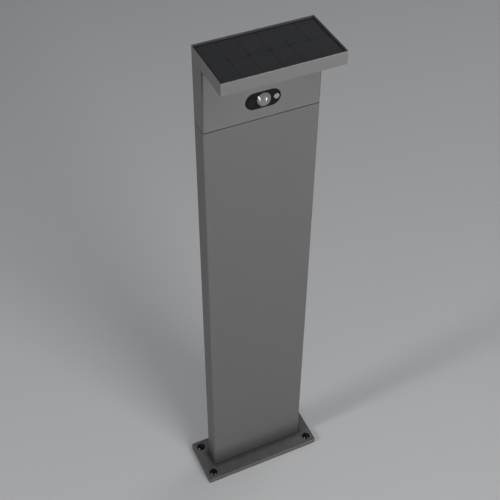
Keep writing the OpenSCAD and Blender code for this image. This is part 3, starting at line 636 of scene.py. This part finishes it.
def cornerSetTree():
    # copies of the piece on a grid of points, each turned by its own chance amount about its axis
    bench, inputs, end = newTree("cornerSet", {
        "Columns": ("Int", 2), "Rows": ("Int", 2),
        "Length": ("Float", 0.1), "Width": ("Float", 0.05),
        "Centre": ("Vector", (0, 0, 0)), "Facing": ("Vector", (0, 0, 0)),
        "Seed": ("Int", 7), "Finish": ("Material", None)})
    grid = bench.add("GeometryNodeMeshGrid", values={
        "Size X": inputs["Length"], "Size Y": inputs["Width"],
        "Vertices X": inputs["Columns"], "Vertices Y": inputs["Rows"]})
    spin = bench.add("FunctionNodeRandomValue", {"data_type": "FLOAT"}, {
        "Min_001": 0.0, "Max_001": 2 * math.pi, "Seed": inputs["Seed"]}, "Value_001")
    spin = bench.add("ShaderNodeCombineXYZ", values={2: spin})
    copies = bench.add("GeometryNodeInstanceOnPoints", values={
        "Points": grid, "Instance": inputs["Mesh"], "Rotation": spin})
    copies = bench.add("GeometryNodeRealizeInstances", values={0: copies})
    copies = bench.add("GeometryNodeTransform", values={
        0: copies, "Translation": inputs["Centre"], "Rotation": inputs["Facing"]})
    closeTree(bench, end, copies, inputs["Finish"])
    return bench.tree


def extrusionTree():
    # the column's section, drawn once and pulled up: outer wall, inner wall, four screw ports, screw sinks
    bench, inputs, end = newTree("columnExtrusion", {
        "Width": ("Float", 0.154), "Depth": ("Float", 0.028), "Wall": ("Float", 0.002),
        "Edge radius": ("Float", 0.0025), "Bottom": ("Float", 0.0095), "Height": ("Float", 0.685),
        "Port width": ("Float", 0.143), "Port depth": ("Float", 0.017),
        "Port radius": ("Float", 0.004), "Bore radius": ("Float", 0.0021),
        "Screw spread": ("Float", 0.1), "Screw height": ("Float", 0.6788),
        "Hole radius": ("Float", 0.0017), "Sink radius": ("Float", 0.00315),
        "Sink depth": ("Float", 0.00145), "Finish": ("Material", None)})

    def pulledUp(sheet):
        top = bench.add("GeometryNodeExtrudeMesh", {"mode": "FACES"}, {
            "Mesh": sheet, "Offset": bench.add("ShaderNodeCombineXYZ", values={2: 1.0}),
            "Offset Scale": inputs["Height"], "Individual": False})
        under = bench.add("GeometryNodeFlipFaces", values={0: sheet})
        both = bench.add("GeometryNodeJoinGeometry", values={0: [top, under]})
        return bench.add("GeometryNodeMergeByDistance", values={0: both, "Distance": 0.001 * mm})

    def filled(*curves):
        joined = bench.add("GeometryNodeJoinGeometry", values={0: list(curves)})
        return bench.add("GeometryNodeFillCurve", {"mode": "TRIANGLES"}, {0: joined})

    outer = bench.add("GeometryNodeCurvePrimitiveQuadrilateral", values={
        "Width": inputs["Width"], "Height": inputs["Depth"]})
    outer = bench.add("GeometryNodeFilletCurve", {"mode": "POLY"}, {
        0: outer, "Radius": inputs["Edge radius"], "Count": 10})
    inner = bench.add("GeometryNodeCurvePrimitiveQuadrilateral", values={
        "Width": inputs["Width"] - inputs["Wall"] * 2, "Height": inputs["Depth"] - inputs["Wall"] * 2})
    walls = pulledUp(filled(outer, inner))
    ports = bench.add("GeometryNodeMeshGrid", values={
        "Size X": inputs["Port width"], "Size Y": inputs["Port depth"], "Vertices X": 2, "Vertices Y": 2})

    def circleUp(radius):
        ring = bench.add("GeometryNodeCurvePrimitiveCircle", {"mode": "RADIUS"}, {
            "Resolution": 40, "Radius": radius})
        solid = pulledUp(filled(ring))
        rods = bench.add("GeometryNodeInstanceOnPoints", values={"Points": ports, "Instance": solid})
        return bench.add("GeometryNodeRealizeInstances", values={0: rods})

    section = bench.add("GeometryNodeMeshBoolean", {"operation": "UNION", "solver": "EXACT"}, {
        "Mesh 2": [walls, circleUp(inputs["Port radius"])]})
    section = bench.add("GeometryNodeMeshBoolean", {"operation": "DIFFERENCE", "solver": "EXACT"}, {
        "Mesh 1": section, "Mesh 2": [circleUp(inputs["Bore radius"])]})
    section = bench.add("GeometryNodeTransform", values={
        0: section, "Translation": bench.add("ShaderNodeCombineXYZ", values={2: inputs["Bottom"]})})
    # a countersunk cutter at each screw of the back wall
    cone = bench.add("GeometryNodeMeshCone", {"fill_type": "NGON"}, {
        "Vertices": 48, "Radius Top": inputs["Sink radius"], "Radius Bottom": inputs["Hole radius"],
        "Depth": inputs["Sink depth"]})
    rod = bench.add("GeometryNodeMeshCylinder", {"fill_type": "NGON"}, {
        "Vertices": 48, "Radius": inputs["Hole radius"], "Depth": inputs["Wall"] * 4})
    cutter = bench.add("GeometryNodeMeshBoolean", {"operation": "UNION", "solver": "EXACT"}, {
        "Mesh 2": [cone, rod]})
    places = bench.add("GeometryNodeMeshLine", {"mode": "END_POINTS"}, {
        "Count": 2,
        "Start Location": bench.add("ShaderNodeCombineXYZ", values={
            0: inputs["Screw spread"] * -0.5, 1: inputs["Depth"] * 0.5, 2: inputs["Screw height"]}),
        "Offset": bench.add("ShaderNodeCombineXYZ", values={
            0: inputs["Screw spread"] * 0.5, 1: inputs["Depth"] * 0.5, 2: inputs["Screw height"]})})
    cutters = bench.add("GeometryNodeInstanceOnPoints", values={
        "Points": places, "Instance": cutter, "Rotation": (-math.pi / 2, 0, 0)})
    cutters = bench.add("GeometryNodeRealizeInstances", values={0: cutters})
    cutters = bench.add("GeometryNodeTransform", values={
        0: cutters, "Translation": bench.add("ShaderNodeCombineXYZ", values={1: inputs["Sink depth"] * -1})})
    section = bench.add("GeometryNodeMeshBoolean", {"operation": "DIFFERENCE", "solver": "EXACT"}, {
        "Mesh 1": section, "Mesh 2": [cutters]})
    closeTree(bench, end, section, inputs["Finish"])
    return bench.tree


def cellTree():
    # silicon cells with cut corners in columns and rows, each with its fingers and ribbons
    bench, inputs, end = newTree("cellField", {
        "Columns": ("Int", 6), "Rows": ("Int", 2), "Cell length": ("Float", 0.023),
        "Cell width": ("Float", 0.0367), "Gap": ("Float", 0.0014), "Thickness": ("Float", 0.0002),
        "Corner": ("Float", 0.0016), "Ribbons": ("Int", 3), "Ribbon width": ("Float", 0.0005),
        "Fingers": ("Int", 22), "Finger width": ("Float", 0.00009), "Print height": ("Float", 0.00004),
        "Centre": ("Vector", (0, 0, 0)),
        "Cell finish": ("Material", None), "Ribbon finish": ("Material", None)})
    outline = bench.add("GeometryNodeCurvePrimitiveQuadrilateral", values={
        "Width": inputs["Cell length"], "Height": inputs["Cell width"]})
    outline = bench.add("GeometryNodeFilletCurve", {"mode": "POLY"}, {
        0: outline, "Radius": inputs["Corner"], "Count": 1})
    sheet = bench.add("GeometryNodeFillCurve", {"mode": "NGONS"}, {0: outline})
    lifted = bench.add("GeometryNodeExtrudeMesh", {"mode": "FACES"}, {
        "Mesh": sheet, "Offset": (0, 0, 1), "Offset Scale": inputs["Thickness"], "Individual": False})
    wafer = bench.add("GeometryNodeJoinGeometry", values={
        0: [lifted, bench.add("GeometryNodeFlipFaces", values={0: sheet})]})
    wafer = bench.add("GeometryNodeMergeByDistance", values={0: wafer, "Distance": 0.001 * mm})
    wafer = bench.add("GeometryNodeSetMaterial", values={0: wafer, "Material": inputs["Cell finish"]})
    top = inputs["Thickness"] + inputs["Print height"] * 0.5

    def lines(count, reach, alongX, width):
        # a row of thin printed bars across the cell
        step = reach / count
        first = reach * -0.5 + step * 0.5
        axis = 1 if alongX else 0
        span = inputs["Cell length"] if alongX else inputs["Cell width"]
        size = {axis: width, 1 - axis: span - inputs["Corner"] * 1.2, 2: inputs["Print height"]}
        bar = bench.add("GeometryNodeMeshCube", values={
            "Size": bench.add("ShaderNodeCombineXYZ", values=size)})
        row = bench.add("GeometryNodeMeshLine", {"mode": "OFFSET"}, {
            "Count": count,
            "Start Location": bench.add("ShaderNodeCombineXYZ", values={axis: first, 2: top}),
            "Offset": bench.add("ShaderNodeCombineXYZ", values={axis: step})})
        return bench.add("GeometryNodeInstanceOnPoints", values={"Points": row, "Instance": bar})

    ribbons = lines(inputs["Ribbons"], inputs["Cell width"], True, inputs["Ribbon width"])
    fingers = lines(inputs["Fingers"], inputs["Cell length"] - inputs["Corner"], False, inputs["Finger width"])
    printed = bench.add("GeometryNodeJoinGeometry", values={0: [ribbons, fingers]})
    printed = bench.add("GeometryNodeRealizeInstances", values={0: printed})
    printed = bench.add("GeometryNodeSetMaterial", values={0: printed, "Material": inputs["Ribbon finish"]})
    cell = bench.add("GeometryNodeJoinGeometry", values={0: [wafer, printed]})
    grid = bench.add("GeometryNodeMeshGrid", values={
        "Size X": (inputs["Cell length"] + inputs["Gap"]) * (inputs["Columns"] - 1),
        "Size Y": (inputs["Cell width"] + inputs["Gap"]) * (inputs["Rows"] - 1),
        "Vertices X": inputs["Columns"], "Vertices Y": inputs["Rows"]})
    field = bench.add("GeometryNodeInstanceOnPoints", values={"Points": grid, "Instance": cell})
    field = bench.add("GeometryNodeRealizeInstances", values={0: field})
    closeTree(bench, end, bench.add("GeometryNodeTransform", values={
        0: field, "Translation": inputs["Centre"]}))
    return bench.tree


def ribTree():
    # prism ribs on the underside of the light window, added to the piece that comes in
    bench, inputs, end = newTree("windowRibs", {
        "Count": ("Int", 90), "Length": ("Float", 0.12), "Width": ("Float", 0.034),
        "Height": ("Float", 0.00022), "Centre": ("Vector", (0, 0, 0)), "Finish": ("Material", None)})
    pitch = inputs["Length"] / inputs["Count"]
    prism = bench.add("GeometryNodeMeshCylinder", {"fill_type": "NGON"}, {
        "Vertices": 4, "Radius": 1.0, "Depth": 1.0})
    prism = bench.add("GeometryNodeTransform", values={
        0: prism, "Rotation": (math.pi / 2, 0, 0),
        "Scale": bench.add("ShaderNodeCombineXYZ", values={
            0: pitch * 0.5, 1: inputs["Height"], 2: inputs["Width"]})})
    row = bench.add("GeometryNodeMeshLine", {"mode": "OFFSET"}, {
        "Count": inputs["Count"],
        "Start Location": bench.add("ShaderNodeCombineXYZ", values={
            0: inputs["Length"] * -0.5 + pitch * 0.5}),
        "Offset": bench.add("ShaderNodeCombineXYZ", values={0: pitch})})
    ribs = bench.add("GeometryNodeInstanceOnPoints", values={"Points": row, "Instance": prism})
    ribs = bench.add("GeometryNodeRealizeInstances", values={0: ribs})
    ribs = bench.add("GeometryNodeTransform", values={0: ribs, "Translation": inputs["Centre"]})
    whole = bench.add("GeometryNodeJoinGeometry", values={0: [ribs, inputs["Mesh"]]})
    closeTree(bench, end, whole, inputs["Finish"])
    return bench.tree


cornerSet = cornerSetTree()
print("node trees made")


column = {
    "wall": 2 * mm, "edgeRadius": 2.5 * mm,
    "portRadius": 4 * mm, "boreRadius": 2.1 * mm, "portBite": 0.5 * mm,
    "screwSpread": 100 * mm, "screwDrop": 16 * mm,
    "holeRadius": 1.7 * mm, "sinkRadius": 3.15 * mm,
}
portReach = column["wall"] + column["portRadius"] - column["portBite"]
columnPiece = newPiece("columnTube", bpy.data.meshes.new("columnTube"))
grow(columnPiece, extrusionTree(), {
    "Width": columnHigh.x - columnLow.x, "Depth": columnHigh.y - columnLow.y,
    "Wall": column["wall"], "Edge radius": column["edgeRadius"],
    "Bottom": columnLow.z, "Height": columnHigh.z - columnLow.z,
    "Port width": 2 * (columnHigh.x - portReach), "Port depth": 2 * (columnHigh.y - portReach),
    "Port radius": column["portRadius"], "Bore radius": column["boreRadius"],
    "Screw spread": column["screwSpread"], "Screw height": columnHigh.z - column["screwDrop"],
    "Hole radius": column["holeRadius"], "Sink radius": column["sinkRadius"],
    "Sink depth": column["sinkRadius"] - column["holeRadius"], "Finish": columnCoat})
polish(columnPiece)
install(columnPiece, "lamp", "column")

refined("basePlate", "base_plate", plateCoat)
refined("headHousing", "head_housing", headCoat)
print("column, plate and head made")


def cornerPieces(name, node, mesh, facing, seed, rows=2, angle=34):
    # the same part at each place of a CAD node, its outer size measured from the mesh itself
    low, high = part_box(node)
    reach = max(vertex.co.xy.length for vertex in mesh.vertices)
    turn = Matrix.Rotation(facing, 3, "X")
    size = turn.inverted() @ (high - low)
    piece = newPiece(name, mesh)
    grow(piece, cornerSet, {
        "Columns": 2, "Rows": rows,
        "Length": abs(size.x) - 2 * reach, "Width": abs(size.y) - 2 * reach if rows > 1 else 0.0,
        "Centre": (low + high) / 2, "Facing": (facing, 0, 0), "Seed": seed,
        "Finish": finishes[slotOf[node]]})
    polish(piece, angle=angle)
    install(piece, "lamp", node)


def centred(mesh):
    # moves a turned part so that its height is centred on its own box
    heights = [vertex.co.z for vertex in mesh.vertices]
    mesh.transform(Matrix.Translation((0, 0, -(min(heights) + max(heights)) / 2)))
    return mesh


anchorCap = {
    "diameter": 13 * mm, "rise": 3.8 * mm,
    "skirtDiameter": 11.2 * mm, "skirtWall": 1 * mm, "skirtDepth": 4.6 * mm,
    "roof": 1.4 * mm, "lip": 0.45 * mm,
}


def capMesh(size):
    edge = size["diameter"] / 2
    ball = (edge ** 2 + size["rise"] ** 2) / (2 * size["rise"])
    widest = math.asin(min(1, (edge - size["lip"] * 0.3) / ball))
    dome = [(ball * math.sin(widest * step / 18), size["rise"] - ball + ball * math.cos(widest * step / 18))
            for step in range(19)]
    dome[0] = (0, size["rise"])
    skirt, inside = size["skirtDiameter"] / 2, size["skirtDiameter"] / 2 - size["skirtWall"]
    low = -size["skirtDepth"]
    rim = [(edge, dome[-1][1] * 0.45), (edge, 0.10 * mm), (edge - 0.10 * mm, 0),
           (skirt, 0), (skirt, low + 0.5 * mm), (skirt - 0.3 * mm, low),
           (inside, low), (inside, size["roof"]), (0, size["roof"])]
    return centred(turned(dome + rim, 56))


cornerPieces("anchorCaps", "anchor_caps", capMesh(anchorCap), 0, 3, angle=42)

threadDepth = 0.28
# each kind of screw in millimetres: its head, its shank and its hexagon socket
screws = {
    "foot_screws": {"head": 9.4, "shank": 4.1, "length": 22.2, "sunk": True,
                    "socket": 3.4, "socketDepth": 1.3, "pitch": 1.4, "facing": math.pi},
    "column_joint_screws": {"head": 6, "shank": 2.5, "length": 8.9, "sunk": True,
                            "socket": 2.2, "socketDepth": 1.2, "pitch": 0.9, "facing": -math.pi / 2},
    "head_joint_screws": {"head": 6, "shank": 2.5, "length": 8.9, "sunk": True,
                          "socket": 2.2, "socketDepth": 1.2, "pitch": 0.9, "facing": -math.pi / 2},
    "spreader_screws": {"head": 5.5, "shank": 2.5, "length": 7.5, "sunk": False,
                        "socket": 2.6, "socketDepth": 1, "pitch": 0.9, "facing": 0},
}


def screwMesh(size):
    # the head's face is at height 0 and the shank runs down
    head, shank = size["head"] / 2, size["shank"] / 2
    socket, depth, length = size["socket"] / 2, size["socketDepth"], size["length"]
    points = [(0, -depth), (socket * 0.98, -depth, 6), (socket, -0.12, 6), (socket + 0.16, 0, 6)]
    if size["sunk"]:
        points += [(head - 0.12, 0), (head, -0.08), (head - 0.02, -0.2), (shank, -(head - shank))]
        start = -(head - shank) - 0.4
    else:
        points += [(head - 0.7, 0), (head - 0.25, -0.15), (head, -0.55), (head, -1.42), (head - 0.08, -1.5),
                   (shank, -1.5)]
        start = -1.9
    points += threaded(shank, threadDepth, start, 0.8 - length, size["pitch"])
    points += [(shank, 0.7 - length), (shank - 0.5, -length), (0, -length)]
    mesh = turned([(point[0] * mm, point[1] * mm, *point[2:]) for point in points], 36)
    return centred(mesh)


for number, (node, size) in enumerate(screws.items()):
    single = size["facing"] == -math.pi / 2
    name = "".join(word.capitalize() if place else word for place, word in enumerate(node.split("_")))
    cornerPieces(name, node, screwMesh(size), size["facing"], 11 + number, rows=1 if single else 2, angle=30)
print("caps and screws made")


panel = {
    "columns": 6, "rows": 2, "gap": 0.9 * mm, "ribbons": 3, "ribbonWidth": 0.5 * mm,
    "fingers": 18, "fingerWidth": 0.09 * mm, "thickness": 0.22 * mm, "print": 0.05 * mm, "corner": 1.5 * mm,
    "glassEdge": 0.25 * mm,
}
cellLow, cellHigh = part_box("solar_cells")
cellPiece = newPiece("solarCells", bpy.data.meshes.new("solarCells"))
grow(cellPiece, cellTree(), {
    "Columns": panel["columns"], "Rows": panel["rows"], "Gap": panel["gap"],
    "Cell length": (cellHigh.x - cellLow.x - (panel["columns"] - 1) * panel["gap"]) / panel["columns"],
    "Cell width": (cellHigh.y - cellLow.y - (panel["rows"] - 1) * panel["gap"]) / panel["rows"],
    "Thickness": panel["thickness"], "Corner": panel["corner"],
    "Ribbons": panel["ribbons"], "Ribbon width": panel["ribbonWidth"],
    "Fingers": panel["fingers"], "Finger width": panel["fingerWidth"], "Print height": panel["print"],
    "Centre": ((cellLow.x + cellHigh.x) / 2, (cellLow.y + cellHigh.y) / 2, cellLow.z),
    "Cell finish": finishes["solar_cell"], "Ribbon finish": ribbonMetal})
install(cellPiece, "lamp", "solar_cells")
refined("coverGlass", "panel_glass", finishes["panel_glass"], panel["glassEdge"])
print("solar panel made")


window = {"ribs": 96, "ribHeight": 0.2 * mm, "lip": 2.5 * mm, "margin": 1.2 * mm}
windowLow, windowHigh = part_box("diffuser")
windowPiece = mergedCopy("lightWindow", "diffuser")
grow(windowPiece, ribTree(), {
    "Count": window["ribs"],
    "Length": windowHigh.x - windowLow.x - 2 * (window["lip"] + window["margin"]),
    "Width": windowHigh.y - windowLow.y - 2 * (window["lip"] + window["margin"]),
    "Height": window["ribHeight"],
    "Centre": ((windowLow.x + windowHigh.x) / 2, (windowLow.y + windowHigh.y) / 2, windowLow.z + 0.01 * mm),
    "Finish": finishes["opal_plastic"]})
polish(windowPiece, angle=20)
install(windowPiece, "lamp", "diffuser")
print("light window made")


sensor = {
    "lensRadius": 9.2 * mm, "lensRise": 6 * mm, "lensWall": 0.8 * mm,
    "flangeRadius": 9.9 * mm, "flange": 0.9 * mm,
    "groove": 0.07 * mm, "grooveWidth": 0.26 * mm,
    # share of the dome's arc, panes, turn
    "rings": [(0.25, 1, 0.0), (0.52, 8, 0.3), (0.78, 14, 0.0), (1.0, 20, 0.5)],
    "across": 64, "around": 140,
    "bezelEdge": 0.3 * mm, "eyeEdge": 0.2 * mm, "buttonEdge": 0.15 * mm,
}


def groovedLens(size, low, high):
    # a turned dome whose outer face is cut by fine grooves into rings of panes, open behind
    outer, rise = size["lensRadius"], size["lensRise"]
    ball = (outer ** 2 + rise ** 2) / (2 * rise)
    widest = math.asin(min(1, outer / ball))
    if rise > ball:
        widest = math.pi - widest
    across, around = size["across"], size["around"]
    depthOf = high.y - low.y - rise - size["flange"]
    work = bmesh.new()
    centre = Vector(((low.x + high.x) / 2, low.y + rise, (low.z + high.z) / 2))

    def spotAt(radius, out, angle):
        return work.verts.new(centre + Vector((radius * math.cos(angle), -out, radius * math.sin(angle))))

    def grooveAt(tilt, angle):
        share = tilt / widest
        nearest, start = 1.0, 0.0
        for limit, panes, turn in size["rings"]:
            nearest = min(nearest, abs(share - limit) * widest * ball) if limit < 1 else nearest
            if start <= share < limit and panes > 1:
                pane = 2 * math.pi / panes
                away = abs(((angle / pane + turn) % 1) - 0.5)
                nearest = min(nearest, (0.5 - away) * pane * ball * math.sin(tilt))
            start = limit
        edge = min(1, nearest / size["grooveWidth"])
        calm = min(1, max(0, (0.97 - share) / 0.05))
        return size["groove"] * (1 - edge * edge * (3 - 2 * edge)) * calm

    rings = [[work.verts.new(centre + Vector((0, -rise, 0)))]]
    for step in range(1, across + 1):
        tilt = widest * step / across
        ring = []
        for turn in range(around):
            angle = 2 * math.pi * turn / around
            reach = ball - grooveAt(tilt, angle)
            ring.append(spotAt(reach * math.sin(tilt), reach * math.cos(tilt) + rise - ball, angle))
        rings.append(ring)
    inner = ball - size["lensWall"]
    bore = math.sqrt(inner ** 2 - (ball - rise) ** 2)
    back = -depthOf - size["flange"]
    for radius, out in ((outer, -depthOf), (size["flangeRadius"], -depthOf), (size["flangeRadius"], back),
                        (bore, back), (bore, 0)):
        rings.append([spotAt(radius, out, 2 * math.pi * turn / around) for turn in range(around)])
    closing = math.asin(min(1, bore / inner))
    for step in range(11, 0, -1):
        tilt = closing * step / 12
        rings.append([spotAt(inner * math.sin(tilt), inner * math.cos(tilt) + rise - ball,
                             2 * math.pi * turn / around) for turn in range(around)])
    rings.append([work.verts.new(centre + Vector((0, -(inner + rise - ball), 0)))])
    for first, second in zip(rings, rings[1:]):
        for turn in range(around):
            after = (turn + 1) % around
            corners = [first[turn % len(first)], second[turn % len(second)],
                       second[after % len(second)], first[after % len(first)]]
            work.faces.new(list(dict.fromkeys(corners)))
    bmesh.ops.recalc_face_normals(work, faces=work.faces)
    mesh = bpy.data.meshes.new("sensorLens")
    work.to_mesh(mesh)
    work.free()
    return mesh


lensPiece = newPiece("sensorLens", groovedLens(sensor, lensLow, lensHigh))
polish(lensPiece, finishes["lens_plastic"], 40)
install(lensPiece, "lamp", "pir_lens")
refined("sensorBezel", "sensor_bezel", finishes["black_gloss"], sensor["bezelEdge"])
refined("lightEye", "light_eye", finishes["eye_plastic"], sensor["eyeEdge"])
refined("modeButton", "mode_button", finishes["button_rubber"], sensor["buttonEdge"], "mode_button")
print("sensor window made")


floorMesh = turned([(0, 0), (floorLook["middle"], 0), (floorLook["radius"], 0)], 96)
floorMesh.materials.append(finish("studioFloor", studioFloor))
floorPiece = newPiece("studioFloor", floorMesh)

studio = {
    "aim": (0.0, 0.0, 0.70),
    "lamps": [
        # name, direction from the aim, distance, width, height, power, and what sees it
        ("leftSoftbox", (-0.92, -0.08, 0.37), 2.4, 0.34, 0.50, 17.5, "everything"),
        ("backSoftbox", (0.85, 0.30, 0.75), 2.8, 1.4, 1.4, 12.5, "everything"),
        ("frontFill", (0.25, -0.95, 0.12), 3.0, 1.6, 1.4, 52.0, "mattSurfaces"),
        ("nearFill", (0.22, -0.95, 0.16), 0.80, 0.40, 0.30, 1.6, "mattSurfaces"),
        ("leftSpark", (-0.867, -0.476, 0.166), 1.9, 0.26, 0.52, 28.0, "highlights"),
        ("rightSpark", (0.502, -0.856, 0.082), 1.9, 0.26, 0.52, 28.0, "highlights"),
    ],
    "world": (0.62, 0.65, 0.70), "worldPower": 0.26,   # the fill from all round
}


def softbox(name, direction, distance, width, height, power, seenBy):
    light = bpy.data.lights.new(name, "AREA")
    light.shape = "RECTANGLE"
    light.size = width
    light.size_y = height
    light.energy = power
    fixture = bpy.data.objects.new(name, light)
    fixture.visible_camera = False
    fixture.visible_glossy = seenBy != "mattSurfaces"
    fixture.visible_diffuse = seenBy != "highlights"
    scene.collection.objects.link(fixture)
    away = Vector(direction).normalized()
    fixture.location = Vector(studio["aim"]) + away * distance
    fixture.rotation_euler = away.to_track_quat("Z", "Y").to_euler()


for row in studio["lamps"]:
    softbox(*row)
world = bpy.data.worlds.new("studio")
world.use_nodes = True
background = world.node_tree.nodes["Background"].inputs
background["Color"].default_value = (*studio["world"], 1)
background["Strength"].default_value = studio["worldPower"]
scene.world = world
scene.view_settings.view_transform = "Standard"

view = {
    "place": (-0.4052, -0.8475, 1.3852), "azimuth": -25.05, "down": 44.47, "roll": 0.368,
    "lens": 69.45, "sensor": 36.0,
}
azimuth, down = math.radians(view["azimuth"]), math.radians(view["down"])
ahead = Vector((-math.sin(azimuth) * math.cos(down), math.cos(azimuth) * math.cos(down), -math.sin(down)))
right = ahead.cross(Vector((0, 0, 1))).normalized()
upward = right.cross(ahead)
facing = Matrix((right, upward, -ahead)).transposed() @ Matrix.Rotation(math.radians(view["roll"]), 3, "Z")
cameraData = bpy.data.cameras.new("camera")
cameraData.lens = view["lens"]
cameraData.sensor_width = view["sensor"]
cameraData.clip_start = 0.01
camera = bpy.data.objects.new("camera", cameraData)
camera.matrix_world = Matrix.Translation(view["place"]) @ facing.to_4x4()
scene.collection.objects.link(camera)
scene.camera = camera
print("studio set up")
